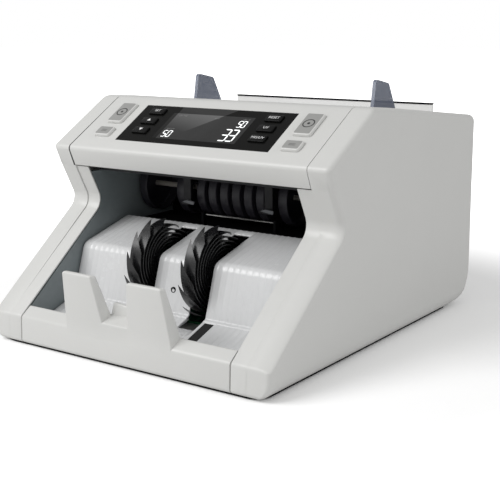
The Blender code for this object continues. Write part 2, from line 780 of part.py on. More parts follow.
def hood():
    """The front upper cover: a hollow shell whose slope carries the control panel."""
    corners = [
        (HOOD_REAR_Y, HOOD_FLOOR_Z),
        (HOOD_REAR_Y, CROWN_Z),
        (BROW_Y, BROW_Z),
        (NOSE_Y, NOSE_Z),
        (LIP_Y, LIP_Z),
        (HOOD_FLOOR_Y, HOOD_FLOOR_Z),
    ]
    radii = [0, 0, BROW_RADIUS, NOSE_RADIUS, FOOT_EDGE_RADIUS / 3, 0]
    shell = prism("hood", rounded(corners, radii, 4), -BETWEEN_PANELS, BETWEEN_PANELS, SHELL_WHITE)
    hollow = rounded(inset(corners, HOOD_WALL), inset_radii(corners, radii, HOOD_WALL), 4)
    reach = BETWEEN_PANELS + CUT_OVERRUN
    cut(shell, prism("hood_hollow", hollow, -reach, reach, None))
    depth = (-HOOD_WALL - CUT_OVERRUN, CUT_OVERRUN)
    display_size = (2 * DISPLAY_HALF + 2 * GAP, DISPLAY_HIGH - DISPLAY_LOW + 2 * GAP)
    display_centre = (0, (DISPLAY_LOW + DISPLAY_HIGH) / 2)
    cut(shell, slope_block("display_cut", display_size, display_centre, depth, 0, None))
    for side, rows in ((-1, "left"), (1, "right")):
        for label, v, height in button_rows():
            size = (BUTTON_WIDTH + 2 * GAP, height + 2 * GAP)
            name = rows + "_" + label + "_cut"
            cut(shell, slope_block(name, size, (side * BUTTON_PLACE, v), depth, BUTTON_CORNER + GAP, None))
    return shell


def button_rows():
    """The two buttons on each side of the display: name, place up the slope and height."""
    return (("small_button", SMALL_BUTTON_V, SMALL_BUTTON_HEIGHT), ("large_button", LARGE_BUTTON_V, LARGE_BUTTON_HEIGHT))


def control_panel():
    """The dark display panel with its screen, six keys, four buttons and the board behind them."""
    size = (2 * DISPLAY_HALF, DISPLAY_HIGH - DISPLAY_LOW)
    centre = (0, (DISPLAY_LOW + DISPLAY_HIGH) / 2)
    panel = slope_block("display_panel", size, centre, (-HOOD_WALL, 0), 0, PANEL_BLACK)
    depth = (-HOOD_WALL - CUT_OVERRUN, CUT_OVERRUN)
    screen_size = (2 * SCREEN_HALF, SCREEN_HIGH - SCREEN_LOW)
    screen_centre = (0, (SCREEN_LOW + SCREEN_HIGH) / 2)
    window_size = (screen_size[0] + 2 * GAP, screen_size[1] + 2 * GAP)
    cut(panel, slope_block("screen_cut", window_size, screen_centre, depth, 0, None))
    slope_block("lcd_screen", screen_size, screen_centre, (-SCREEN_DEPTH, -SCREEN_RECESS), 0, SCREEN_GREY)
    board_size = (2 * BOARD_HALF, BOARD_HIGH - BOARD_LOW)
    board_centre = (0, (BOARD_LOW + BOARD_HIGH) / 2)
    board_depth = (-BOARD_DEPTH - BOARD_THICKNESS, -BOARD_DEPTH)
    slope_block("key_board", board_size, board_centre, board_depth, 0, BOARD_GREEN)
    for side, hand in ((-1, "left"), (1, "right")):
        for row, v in zip(("lower", "middle", "upper"), KEY_ROWS):
            name = hand + "_" + row + "_key"
            spot = (side * KEY_PLACE, v)
            hole = (KEY_WIDTH + 2 * GAP, KEY_HEIGHT + 2 * GAP)
            cut(panel, slope_block(name + "_cut", hole, spot, depth, KEY_CORNER + GAP, None))
            slope_block(name, (KEY_WIDTH, KEY_HEIGHT), spot, (-KEY_TAIL, KEY_PROUD), KEY_CORNER, KEY_BLACK)
        for label, v, height in button_rows():
            spot = (side * BUTTON_PLACE, v)
            name = hand + "_" + label
            slope_block(name, (BUTTON_WIDTH, height), spot, (-BUTTON_TAIL, BUTTON_PROUD), BUTTON_CORNER, BUTTON_GREY)


def fence_prong(name, side):
    """One thick tapered prong of the note fence, wider at its foot and leaning forwards."""
    front_foot = (FOOT_LEAN + FOOT_LEAN / 5, FENCE_FOOT_Z)
    side_view = [
        front_foot,
        (FENCE_FOOT_BACK_Y, FENCE_FOOT_BACK_Z),
        (FENCE_TOP_THICKNESS - FENCE_REACH, FENCE_TOP_Z),
        (-FENCE_REACH, FENCE_TOP_Z),
    ]
    rings = []
    for foot_x, top_x in ((FENCE_INNER_FOOT, FENCE_INNER_TOP), (FENCE_OUTER_FOOT, FENCE_OUTER_TOP)):
        ring = []
        for y, z in side_view:
            share = (z - FENCE_FOOT_Z) / (FENCE_TOP_Z - FENCE_FOOT_Z)
            ring.append((side * (foot_x + (top_x - foot_x) * share), y, z))
        rings.append(ring)
    prong = lofted(name, rings, None)
    mesh_data = bmesh.new()
    mesh_data.from_mesh(prong.data)
    bmesh.ops.bevel(
        mesh_data, geom=mesh_data.edges, offset=FENCE_ROUND, segments=2, profile=0.5, affect="EDGES", clamp_overlap=True
    )
    mesh_data.to_mesh(prong.data)
    mesh_data.free()
    return prong


def front_cover():
    """The low front cover with its note fence of two prongs and the web between them."""
    side_view = [
        (FOOT_EDGE_RADIUS, UNDERSIDE_Z),
        (FOOT_EDGE_RADIUS + THIN_WALL, UNDERSIDE_Z),
        (FOOT_LEAN + THIN_WALL, FOOT_TOP_Z - WALL / 2),
        (CREST_Y, CREST_Z - WALL),
        (COVER_SHOULDER_Y - THIN_WALL, COVER_SHOULDER_Z - WALL / 2),
        (COVER_BACK_Y - THIN_WALL, UNDERSIDE_Z),
        (COVER_BACK_Y, UNDERSIDE_Z),
        (COVER_SHOULDER_Y, COVER_SHOULDER_Z),
        (CREST_Y, CREST_Z),
        (FOOT_LEAN, FOOT_TOP_Z),
        (0, UNDERSIDE_Z + FOOT_EDGE_RADIUS),
    ]
    cover = prism("front_cover", side_view, -BETWEEN_WALLS, BETWEEN_WALLS, SHELL_WHITE)
    web = [
        (FOOT_LEAN + WEB_SETBACK, FENCE_FOOT_Z),
        (FENCE_FOOT_BACK_Y, FENCE_FOOT_BACK_Z),
        (CREST_Y, WEB_BACK_Z),
        (WEB_SETBACK / 2, WEB_FRONT_Z),
    ]
    reach = FENCE_INNER_FOOT + FENCE_ROUND + JOIN_OVERLAP
    join(cover, prism("fence_web", web, -reach, reach, None))
    join(cover, fence_prong("left_prong", -1))
    join(cover, fence_prong("right_prong", 1))
    return cover


def slot_cutter(name, side, y_range, z_range):
    """A cutter for one wheel slot."""
    return block(name, mirrored(side, SLOT_INNER, SLOT_OUTER), y_range, z_range, None)


def stacker_deck():
    """The back rest of the pocket: leaning face, round shoulder and sloping top, with two wheel slots."""
    outer = [
        (FACE_FOOT_Y, FACE_FOOT_Z),
        (DECK_CORNER_Y, DECK_CORNER_Z),
        (DECK_REAR_Y, DECK_REAR_Z),
        (DECK_REAR_Y, DECK_LIP_Z),
    ]
    face = mathutils.Vector((DECK_CORNER_Y - FACE_FOOT_Y, DECK_CORNER_Z - FACE_FOOT_Z)).normalized()
    top = mathutils.Vector((DECK_REAR_Y - DECK_CORNER_Y, DECK_REAR_Z - DECK_CORNER_Z)).normalized()
    corner = mathutils.Vector((DECK_CORNER_Y, DECK_CORNER_Z))
    face_back = mathutils.Vector((face.y, -face.x)) * THIN_WALL
    top_under = mathutils.Vector((top.y, -top.x)) * THIN_WALL
    inner_corner = crossing(corner + face_back, face, corner + top_under, top)
    under_rear = at_depth(inner_corner, inner_corner + top, DECK_REAR_Y - THIN_WALL)
    inner_foot = mathutils.Vector((FACE_FOOT_Y, FACE_FOOT_Z)) + face_back
    corners = outer + [(DECK_REAR_Y - THIN_WALL, DECK_LIP_Z), under_rear, tuple(inner_corner), tuple(inner_foot)]
    corners.reverse()
    radii = [0, DECK_CORNER_RADIUS - THIN_WALL, 0, 0, 0, THIN_WALL / 2, DECK_CORNER_RADIUS, 0]
    deck = prism("stacker_deck", rounded(corners, radii, 5), -BETWEEN_WALLS, BETWEEN_WALLS, POCKET_WHITE)
    for side, hand in ((-1, "left"), (1, "right")):
        y_range = (FACE_FOOT_Y - CUT_OVERRUN, SLOT_REAR_Y)
        z_range = (FACE_FOOT_Z - CUT_OVERRUN, DECK_REAR_Z + CUT_OVERRUN)
        cut(deck, slot_cutter(hand + "_deck_slot", side, y_range, z_range))
    hole_y = at_height(outer[0], outer[1], SENSOR_Z)[0]
    tool = prism("sensor_hole", circle(SENSOR_RADIUS, 12), -CUT_OVERRUN, CUT_OVERRUN, None, "Y", (0, hole_y, SENSOR_Z))
    cut(deck, tool)
    return deck


def circle(radius, count):
    """Points round a circle about zero."""
    angles = [math.tau * index / count for index in range(count)]
    return [(radius * math.cos(angle), radius * math.sin(angle)) for angle in angles]


def pocket_floor():
    """The floor of the pocket, sloping down to the front, with wheel slots and the sensor window."""
    front = (COVER_BACK_Y + GAP, FLOOR_FRONT_Z)
    rear = (FACE_FOOT_Y - GAP, FACE_FOOT_Z - GAP)
    corners = [(front[0], front[1] - THIN_WALL), (rear[0], rear[1] - THIN_WALL), rear, front]
    floor = prism("pocket_floor", corners, -BETWEEN_WALLS, BETWEEN_WALLS, POCKET_WHITE)
    for side, hand in ((-1, "left"), (1, "right")):
        z_range = (FLOOR_FRONT_Z - CUT_OVERRUN, FACE_FOOT_Z + CUT_OVERRUN)
        cut(floor, slot_cutter(hand + "_floor_slot", side, (SLOT_FRONT_Y, FACE_FOOT_Y + CUT_OVERRUN), z_range))
    low = at_depth(front, rear, WINDOW_FRONT_Y + GAP)
    high = at_depth(front, rear, WINDOW_REAR_Y - GAP)
    lens = [(low[0], low[1] - THIN_WALL), (high[0], high[1] - THIN_WALL), high, low]
    prism("floor_sensor_window", lens, WINDOW_LEFT + GAP, WINDOW_RIGHT - GAP, PANEL_BLACK)
    z_range = (FLOOR_FRONT_Z - CUT_OVERRUN, FACE_FOOT_Z + CUT_OVERRUN)
    y_range = (WINDOW_FRONT_Y, WINDOW_REAR_Y)
    cut(floor, block("window_cut", (WINDOW_LEFT, WINDOW_RIGHT), y_range, z_range, None))
    return floor


def fin_ring(x, tip_cut):
    """One face of a stacker wheel: curved fins that wind out from the hub, cut short by an angle."""
    points = []
    step_angle = math.tau / FIN_COUNT
    for fin in range(FIN_COUNT):
        start = fin * step_angle
        outer = []
        inner = []
        for step in range(FIN_STEPS + 1):
            share = step / FIN_STEPS
            wind = (FIN_WRAP - tip_cut) * share
            radius = HUB_RADIUS + (WHEEL_RADIUS - HUB_RADIUS) * wind / FIN_WRAP
            outer.append((radius, start - wind))
            inner.append((radius - FIN_THICKNESS * (1 - share / 3), start - wind))
        root = (HUB_RADIUS - FIN_THICKNESS, start)
        points.extend([root] + inner[2:] + outer[::-1][:-1])
    return [(x, radius * math.cos(angle), radius * math.sin(angle)) for radius, angle in points]


def stacker_wheel(name, side):
    """A wheel of curved fins that catch the notes, with slanting fin tips and a bored hub."""
    low, high = mirrored(side, WHEEL_INNER, WHEEL_INNER + WHEEL_WIDTH)
    rings = [fin_ring(low, 0), fin_ring(high, FIN_TIP_CUT)]
    wheel = lofted(name, rings, RUBBER_BLACK, (0, STACKER_Y, STACKER_Z))
    split_faces(wheel)
    cut(wheel, shaft_hole(name + "_bore", (STACKER_Y, STACKER_Z), SHAFT_BORE))
    return wheel


def pulley_profile(side, radius):
    """Profile points of a flanged pulley at the end of a shaft, from its inner to its outer side."""
    flange = radius + BELT_THICKNESS * 1.5
    inner, outer = PULLEY_INNER, PULLEY_OUTER
    rim = min(PULLEY_FLANGE, (PULLEY_WIDTH - BELT_WIDTH) / 2 - GAP / 3)
    places = [
        (inner, flange),
        (inner + rim, flange),
        (inner + rim, radius),
        (outer - rim, radius),
        (outer - rim, flange),
        (outer, flange),
    ]
    if side < 0:
        places = [(-x, r) for x, r in reversed(places)]
    return places


def shaft_profile(left_radius, right_radius):
    """A shaft that carries a pulley at its left end, at its right end, or at both."""
    profile = [(-SHAFT_HALF, 0), (-SHAFT_HALF, SHAFT_RADIUS)]
    if left_radius:
        left = pulley_profile(-1, left_radius)
        profile += [(left[0][0], SHAFT_RADIUS)] + left + [(left[-1][0], SHAFT_RADIUS)]
    if right_radius:
        right = pulley_profile(1, right_radius)
        profile += [(right[0][0], SHAFT_RADIUS)] + right + [(right[-1][0], SHAFT_RADIUS)]
    return profile + [(SHAFT_HALF, SHAFT_RADIUS), (SHAFT_HALF, 0)]


def stacker():
    """The two fin wheels on their shaft, driven by a pulley on the left."""
    place = (0, STACKER_Y, STACKER_Z)
    turned("stacker_shaft", shaft_profile(STACKER_PULLEY_RADIUS, 0), STEEL, place, 18)
    stacker_wheel("left_stacker_wheel", -1)
    stacker_wheel("right_stacker_wheel", 1)


def ring_profile(low, high, inner, outer):
    """The section of a disc with a hole."""
    return [(low, inner), (low, outer), (high, outer), (high, inner)]


def transport_drum():
    """The grooved drum, its four side discs and its shaft with a pulley at each end."""
    place = (0, DRUM_Y, DRUM_Z)
    turned("drum_shaft", shaft_profile(DRUM_SMALL_PULLEY_RADIUS, DRUM_PULLEY_RADIUS), STEEL, place, 18)
    first = -DISC_PITCH * (DISC_COUNT - 1) / 2
    profile = [(first - DISC_WIDTH / 2, SHAFT_BORE)]
    for index in range(DISC_COUNT):
        middle = first + index * DISC_PITCH
        low, high = middle - DISC_WIDTH / 2, middle + DISC_WIDTH / 2
        if index:
            profile.append((low, GROOVE_RADIUS))
        profile += [(low, DRUM_RADIUS), (high, DRUM_RADIUS)]
        if index < DISC_COUNT - 1:
            profile.append((high, GROOVE_RADIUS))
    profile.append((-first + DISC_WIDTH / 2, SHAFT_BORE))
    turned("transport_drum", profile, CHARCOAL, place, 24, True)
    for side, hand in ((-1, "left"), (1, "right")):
        for label, middle in (("inner", SIDE_DISC_NEAR), ("outer", SIDE_DISC_FAR)):
            low, high = side * middle - SIDE_DISC_WIDTH / 2, side * middle + SIDE_DISC_WIDTH / 2
            ring = ring_profile(low, high, SHAFT_BORE, DRUM_RADIUS)
            turned(hand + "_" + label + "_drum_disc", ring, CHARCOAL, place, 24, True)


def note_guides():
    """The dark plates round the drum, the finger brackets and the thin rod under the drum."""
    top_z = GUIDE_Z + WALL
    corners = [(GUIDE_FRONT_Y, GUIDE_Z), (GUIDE_REAR_Y, GUIDE_Z), (GUIDE_REAR_Y, top_z), (GUIDE_FRONT_Y, top_z)]
    upper = prism("upper_guide", corners, -BETWEEN_WALLS, BETWEEN_WALLS, BLACK_PLASTIC)
    finger = [
        (FINGER_Y - FINGER_FOOT_REACH, FINGER_FOOT_Z),
        (FINGER_Y + WALL, FINGER_FOOT_Z),
        (FINGER_Y + WALL, GUIDE_Z + JOIN_OVERLAP),
        (FINGER_Y, GUIDE_Z + JOIN_OVERLAP),
        (FINGER_Y, FINGER_FOOT_Z + SHEET),
        (FINGER_Y - FINGER_FOOT_REACH, FINGER_FOOT_Z + SHEET),
    ]
    for side, hand in ((-1, "left"), (1, "right")):
        low, high = mirrored(side, FINGER_INNER, FINGER_OUTER)
        join(upper, prism(hand + "_finger", finger, low, high, None))
        toe_x = mirrored(side, FINGER_FOOT_INNER, FINGER_INNER + JOIN_OVERLAP)
        toe_y = (FINGER_Y - FINGER_FOOT_REACH + GAP, FINGER_Y + WALL - GAP)
        toe_z = (FINGER_FOOT_Z + GAP, FINGER_FOOT_Z + SHEET - GAP)
        join(upper, block(hand + "_toe", toe_x, toe_y, toe_z, None))
    tray_top = CAVITY_FLOOR_Z + SHEET
    front = DECK_REAR_Y + SIDE_GAP
    back = CAVITY_BACK_Y + SHEET
    corners = [
        (front, CAVITY_FLOOR_Z),
        (back, CAVITY_FLOOR_Z),
        (back, CAVITY_TOP_Z),
        (CAVITY_BACK_Y, CAVITY_TOP_Z),
        (CAVITY_BACK_Y, tray_top),
        (front, tray_top),
    ]
    rear = prism("rear_guide", corners, -BETWEEN_WALLS, BETWEEN_WALLS, BLACK_PLASTIC)
    posts = (("left", ROD_LEFT - GAP - ROD_POST, ROD_LEFT - GAP), ("right", ROD_RIGHT + GAP, ROD_RIGHT + GAP + ROD_POST))
    for hand, low, high in posts:
        y_range = (ROD_POST_FRONT_Y, ROD_POST_BACK_Y)
        z_range = (tray_top - JOIN_OVERLAP, ROD_POST_TOP_Z)
        join(rear, block(hand + "_rod_post", (low, high), y_range, z_range, None))
    rod("guide_rod", (ROD_LEFT, ROD_RIGHT), ROD_RADIUS, STEEL, (0, ROD_Y, ROD_Z), 10)


def top_height(y):
    """Height of the body's top behind the hood."""
    return at_depth((CROWN_Y, CROWN_Z), (BODY_DEPTH, REAR_TOP_Z), y)[1]


def top_frame():
    """The rear top cover round the hopper, with the hopper's side and back skirts."""
    front_y = CROWN_Y + GAP
    corners = [
        (front_y, top_height(front_y)),
        (front_y, top_height(front_y) - WALL),
        (BODY_DEPTH - WALL, top_height(BODY_DEPTH - WALL) - WALL),
        (BODY_DEPTH - WALL, TOP_FRAME_LIP_Z),
        (BODY_DEPTH, TOP_FRAME_LIP_Z),
        (BODY_DEPTH, REAR_TOP_Z),
    ]
    radii = [0, 0, REAR_TOP_RADIUS - WALL, 0, 0, REAR_TOP_RADIUS]
    frame = prism("top_frame", rounded(corners, radii, 4), -BETWEEN_PANELS, BETWEEN_PANELS, SHELL_WHITE)
    y_range = (CROWN_Y - CUT_OVERRUN, HOPPER_REAR_Y)
    z_range = (TOP_FRAME_LIP_Z, CROWN_Z + CUT_OVERRUN)
    cut(frame, block("hopper_cut", (-HOPPER_HALF, HOPPER_HALF), y_range, z_range, None))
    back = HOPPER_REAR_Y + SHEET
    skirt = [
        (front_y, SKIRT_FRONT_Z),
        (back, TRAY_REAR_Z - THIN_WALL),
        (back, top_height(back) - JOIN_OVERLAP),
        (front_y, top_height(front_y) - JOIN_OVERLAP),
    ]
    for side, hand in ((-1, "left"), (1, "right")):
        low, high = mirrored(side, HOPPER_HALF, HOPPER_HALF + SHEET)
        join(frame, prism(hand + "_skirt", skirt, low, high, None))
    reach = HOPPER_HALF + SHEET / 2
    z_range = (TRAY_REAR_Z - SHEET, top_height(back) - JOIN_OVERLAP)
    join(frame, block("back_skirt", (-reach, reach), (HOPPER_REAR_Y, back), z_range, None))
    return frame


def tray_height(y):
    """Height of the hopper tray's upper side."""
    return at_depth((TRAY_FRONT_Y, TRAY_FRONT_Z), (HOPPER_REAR_Y, TRAY_REAR_Z), y)[1]


def rack_lines():
    """The two racks of the side guides: hand, side of the machine and side of the pinion."""
    return (("left", -1, -1), ("right", 1, 1))


def rack_range(turn):
    """Where a rack lies in y: in front of the pinion or behind it."""
    near = PINION_RADIUS + TOOTH_REACH / 2
    low, high = near, near + RACK_WIDTH
    return (PINION_Y + low, PINION_Y + high) if turn > 0 else (PINION_Y - high, PINION_Y - low)


def hopper():
    """The hopper tray with its roller and guide slots, and the low back rest."""
    rear_y = HOPPER_REAR_Y - GAP
    corners = [
        (rear_y, tray_height(rear_y)),
        (TRAY_FRONT_Y, TRAY_FRONT_Z),
        (TRAY_LIP_Y, TRAY_LIP_Z),
        (TRAY_LIP_Y, TRAY_LIP_Z - THIN_WALL),
        (TRAY_FRONT_Y + THIN_WALL / 2, TRAY_FRONT_Z - THIN_WALL),
        (rear_y, tray_height(rear_y) - THIN_WALL),
    ]
    half = HOPPER_HALF - GAP
    tray = prism("hopper_tray", corners, -half, half, SHELL_WHITE)
    z_range = (TRAY_LIP_Z, TRAY_REAR_Z)
    for hand, side, turn in rack_lines():
        x_range = mirrored(side, FEED_ROLLER_PLACE - FEED_ROLLER_WIDTH / 2 - SIDE_GAP,
                           FEED_ROLLER_PLACE + FEED_ROLLER_WIDTH / 2 + SIDE_GAP)
        y_range = (FEED_Y - FEED_RADIUS - SIDE_GAP, FEED_Y + FEED_RADIUS + SIDE_GAP)
        cut(tray, block(hand + "_roller_slot", x_range, y_range, z_range, None))
        front, back = rack_range(turn)
        inner = FIN_PLACE - FIN_TRAVEL_IN - FIN_PLATE / 2 - SIDE_GAP
        outer = FIN_PLACE + FIN_TRAVEL_OUT + FIN_PLATE / 2 + SIDE_GAP
        cut(tray, block(hand + "_guide_slot", mirrored(side, inner, outer), (front - GAP, back + GAP), z_range, None))
    foot_y = rear_y - BACKREST_THICKNESS - BACKREST_LEAN - GAP
    foot_z = tray_height(rear_y) + GAP
    corners = [
        (foot_y, foot_z),
        (foot_y + BACKREST_THICKNESS, foot_z),
        (foot_y + BACKREST_THICKNESS + BACKREST_LEAN, BACKREST_TOP_Z),
        (foot_y + BACKREST_LEAN, BACKREST_TOP_Z),
    ]
    prism("hopper_backrest", corners, -half + GAP, half - GAP, SHELL_WHITE)


def tooth_line(centre, places, root, tip, pitch):
    """Corner points of a row of trapezoid teeth along x, each a number of pitches from the centre."""
    points = []
    for index in places:
        middle = centre + index * pitch
        points += [
            (middle - pitch * 0.24, root),
            (middle - pitch * 0.12, tip),
            (middle + pitch * 0.12, tip),
            (middle + pitch * 0.24, root),
        ]
    return points


def side_guide(hand, side, turn):
    """A translucent hopper guide: its tall fin, its foot on the tray, its tongue and its toothed rack."""
    name = hand + "_hopper_guide"
    place = (side * FIN_PLACE, 0, 0)
    lift = GAP
    fin = [
        (FIN_BASE_FRONT_Y, tray_height(FIN_BASE_FRONT_Y) + 2 * lift),
        (FIN_BASE_REAR_Y, tray_height(FIN_BASE_REAR_Y) + 2 * lift),
        (FIN_BASE_REAR_Y, FIN_SHOULDER_Z),
        (FIN_NECK_REAR_Y, FIN_SHOULDER_Z + FIN_PLATE),
        (FIN_TOP_REAR_Y, FIN_REAR_Z),
        (FIN_TOP_FRONT_Y, FIN_TOP_Z),
        (FIN_NECK_FRONT_Y, FIN_SHOULDER_Z + FIN_PLATE),
        (FIN_BASE_FRONT_Y, FIN_SHOULDER_Z),
    ]
    radii = [0, 0, 0, FIN_PLATE, FIN_PLATE, FIN_PLATE, FIN_PLATE, 0]
    guide = prism(name, rounded(fin, radii, 3), -FIN_PLATE / 2, FIN_PLATE / 2, SMOKE_BLUE, "X", place)
    foot = [
        (FIN_BASE_FRONT_Y + lift, tray_height(FIN_BASE_FRONT_Y + lift) + lift),
        (FIN_BASE_REAR_Y - lift, tray_height(FIN_BASE_REAR_Y - lift) + lift),
        (FIN_BASE_REAR_Y - lift, tray_height(FIN_BASE_REAR_Y) + FIN_FOOT_HEIGHT),
        (FIN_BASE_FRONT_Y + lift, tray_height(FIN_BASE_FRONT_Y) + FIN_FOOT_HEIGHT),
    ]
    low, high = mirrored(-side, 0, FIN_FOOT_WIDTH)
    join(guide, prism(name + "_foot", foot, low, high, None, "X", place))
    front, back = rack_range(turn)
    rack_top = PINION_Z + RACK_THICKNESS / 2
    tongue_z = (rack_top - JOIN_OVERLAP, tray_height(back) + FIN_FOOT_HEIGHT / 2)
    tongue_y = (front + GAP, back - GAP)
    tongue_half = FIN_PLATE / 2 - 2 * GAP
    join(guide, block(name + "_tongue", (-tongue_half, tongue_half), tongue_y, tongue_z, None, place))
    join(guide, rack(name + "_rack", side, turn, front, back, place))
    return guide


def rack(name, side, turn, front, back, place):
    """The toothed bar under the tray, long enough to stay on the pinion over the whole travel."""
    start = FIN_PLATE / 2 - GAP
    end = -FIN_PLACE - RACK_PAST_PINION - FIN_TRAVEL_OUT
    pitch = math.tau * PINION_RADIUS / PINION_TEETH
    inward = math.floor((RACK_PAST_PINION + FIN_TRAVEL_OUT) / pitch - 1)
    outward = math.ceil(FIN_TRAVEL_IN / pitch + 1)
    near, far = (front, back) if turn > 0 else (back, front)
    tips = tooth_line(-FIN_PLACE, range(-inward, outward + 1), near, near - turn * TOOTH_REACH, pitch)
    outline = [(start, far), (start, near)] + [(x, y) for x, y in reversed(tips)] + [(end, near), (end, far)]
    outline = [(side * x, y) for x, y in outline]
    low = PINION_Z - RACK_THICKNESS / 2
    return prism(name, outline, low, low + RACK_THICKNESS, None, "Z", place)


def guide_drive():
    """The pinion under the tray that makes the two side guides move as one."""
    for hand, side, turn in rack_lines():
        side_guide(hand, side, turn)
    outline = []
    step = math.tau / PINION_TEETH
    root = PINION_RADIUS - TOOTH_REACH
    tip = PINION_RADIUS + TOOTH_REACH / 4
    for index in range(PINION_TEETH):
        middle = math.pi / 2 + (index + 1 / 2) * step
        for radius, share in ((root, -0.26), (tip, -0.13), (tip, 0.13), (root, 0.26)):
            angle = middle + share * step
            outline.append((radius * math.cos(angle), radius * math.sin(angle)))
    low = -RACK_THICKNESS / 2 - SIDE_GAP
    high = RACK_THICKNESS / 2 + SIDE_GAP
    pinion = prism("guide_pinion", outline, low, high, BLACK_PLASTIC, "Z", (0, PINION_Y, PINION_Z))
    stub_top = tray_height(PINION_Y - root / 2) - THIN_WALL - GAP - PINION_Z
    stub = prism("pinion_stub", circle(root / 2, 16), 0, stub_top, None, "Z", (0, PINION_Y, PINION_Z))
    join(pinion, stub)
    return pinion


def feed_roller():
    """The two rubber rollers that draw notes from the hopper, on their shaft with its pulley."""
    profile = [(-SHAFT_HALF, 0), (-SHAFT_HALF, SHAFT_RADIUS)]
    for side in (-1, 1):
        low = side * FEED_ROLLER_PLACE - FEED_ROLLER_WIDTH / 2
        high = low + FEED_ROLLER_WIDTH
        profile += ring_profile(low, high, SHAFT_RADIUS, FEED_RADIUS)
    right = pulley_profile(1, FEED_PULLEY_RADIUS)
    profile += [(right[0][0], SHAFT_RADIUS)] + right + [(right[-1][0], SHAFT_RADIUS)]
    profile += [(SHAFT_HALF, SHAFT_RADIUS), (SHAFT_HALF, 0)]
    turned("feed_roller", profile, RUBBER_BLACK, (0, FEED_Y, FEED_Z), 20)


def wrap(circles, margin, count):
    """The outline of a belt pulled tight round circles of (y, z, radius), a margin out from them."""
    outline = []
    for index in range(count):
        angle = math.tau * index / count
        way = (math.cos(angle), math.sin(angle))
        y, z, radius = max(circles, key=lambda spot: spot[0] * way[0] + spot[1] * way[1] + spot[2])
        outline.append((y + (radius + margin) * way[0], z + (radius + margin) * way[1]))
    return outline


def belt(name, side, circles):
    """A flat belt round its pulleys, a hair off them."""
    count = 40
    middle = (PULLEY_INNER + PULLEY_OUTER) / 2
    low, high = mirrored(side, middle - BELT_WIDTH / 2, middle + BELT_WIDTH / 2)
    inner = wrap(circles, GAP, count)
    outer = wrap(circles, GAP + BELT_THICKNESS, count)
    rings = [
        [(x, y, z) for y, z in outline]
        for x, outline in ((low, inner), (low, outer), (high, outer), (high, inner))
    ]
    mesh_data = bmesh.new()
    rows = [[mesh_data.verts.new(point) for point in ring] for ring in rings]
    for row, next_row in zip(rows, rows[1:] + rows[:1]):
        for index in range(count):
            corner = index - 1
            mesh_data.faces.new((row[corner], row[index], next_row[index], next_row[corner]))
    return add_object(name, mesh_data, BELT_BLACK)


def drive():
    """The motor with its shaft and pulley, and the two belts."""
    back = CHASSIS_INNER - GAP - MOTOR_LENGTH
    front = CHASSIS_INNER - GAP
    boss = front + MOTOR_BOSS_LENGTH - PLATE
    bore = MOTOR_SHAFT_RADIUS + BORE_CLEARANCE
    bore_end = front - MOTOR_LENGTH / 4
    edge = MOTOR_RADIUS / 10
    profile = [
        (back, 0),
        (back, MOTOR_RADIUS - edge),
        (back + edge, MOTOR_RADIUS),
        (front - edge, MOTOR_RADIUS),
        (front, MOTOR_RADIUS - edge),
        (front, MOTOR_BOSS_RADIUS),
        (boss, MOTOR_BOSS_RADIUS),
        (boss, bore),
        (bore_end, bore),
        (bore_end, 0),
    ]
    place = (0, MOTOR_Y, MOTOR_Z)
    turned("motor", profile, ZINC_SHEET, place, 20)
    pulley = pulley_profile(1, MOTOR_PULLEY_RADIUS)
    start = bore_end + GAP
    profile = [(start, 0), (start, MOTOR_SHAFT_RADIUS)]
    profile += [(pulley[0][0] + GAP, MOTOR_SHAFT_RADIUS), (pulley[0][0] + GAP, pulley[0][1])]
    profile += pulley[1:] + [(pulley[-1][0], 0)]
    turned("motor_shaft", profile, STEEL, place, 16)
    main = [
        (MOTOR_Y, MOTOR_Z, MOTOR_PULLEY_RADIUS),
        (DRUM_Y, DRUM_Z, DRUM_PULLEY_RADIUS),
        (FEED_Y, FEED_Z, FEED_PULLEY_RADIUS),
    ]
    belt("main_belt", 1, main)
    small = [(DRUM_Y, DRUM_Z, DRUM_SMALL_PULLEY_RADIUS), (STACKER_Y, STACKER_Z, STACKER_PULLEY_RADIUS)]
    belt("stacker_belt", -1, small)


def rear_cover():
    """The rear wall with its big lower curve, vents, and the openings for inlet and switch."""
    corners = [
        (REAR_COVER_FRONT_Y, UNDERSIDE_Z),
        (BODY_DEPTH, UNDERSIDE_Z),
        (BODY_DEPTH, REAR_COVER_TOP_Z),
        (BODY_DEPTH - WALL, REAR_COVER_TOP_Z),
        (BODY_DEPTH - WALL, PAN_TOP_Z),
        (REAR_COVER_FRONT_Y, PAN_TOP_Z),
    ]
    radii = [0, REAR_FOOT_RADIUS, 0, 0, REAR_FOOT_RADIUS - WALL, 0]
    cover = prism("rear_cover", rounded(corners, radii, 6), -BETWEEN_PANELS, BETWEEN_PANELS, SHELL_WHITE)
    y_range = (BODY_DEPTH - WALL - CUT_OVERRUN, BODY_DEPTH + CUT_OVERRUN)
    openings = [
        ("inlet_cut", INLET_X, INLET_WIDTH / 2 + GAP, INLET_Z - INLET_HEIGHT / 2 - GAP, INLET_Z + INLET_HEIGHT / 2 + GAP),
        ("switch_cut", SWITCH_X, SWITCH_WIDTH / 2 + GAP, INLET_Z - SWITCH_HEIGHT / 2 - SWITCH_CLEARANCE,
         INLET_Z + SWITCH_HEIGHT / 2 + SWITCH_CLEARANCE),
    ]
    for index in range(VENT_COUNT):
        middle = VENT_X + (index - (VENT_COUNT - 1) / 2) * VENT_PITCH
        openings.append(("vent_" + str(index), middle, VENT_WIDTH / 2, VENT_LOW_Z, VENT_HIGH_Z))
    for name, middle, half, low, high in openings:
        cut(cover, block(name, (middle - half, middle + half), y_range, (low, high), None))
    return cover


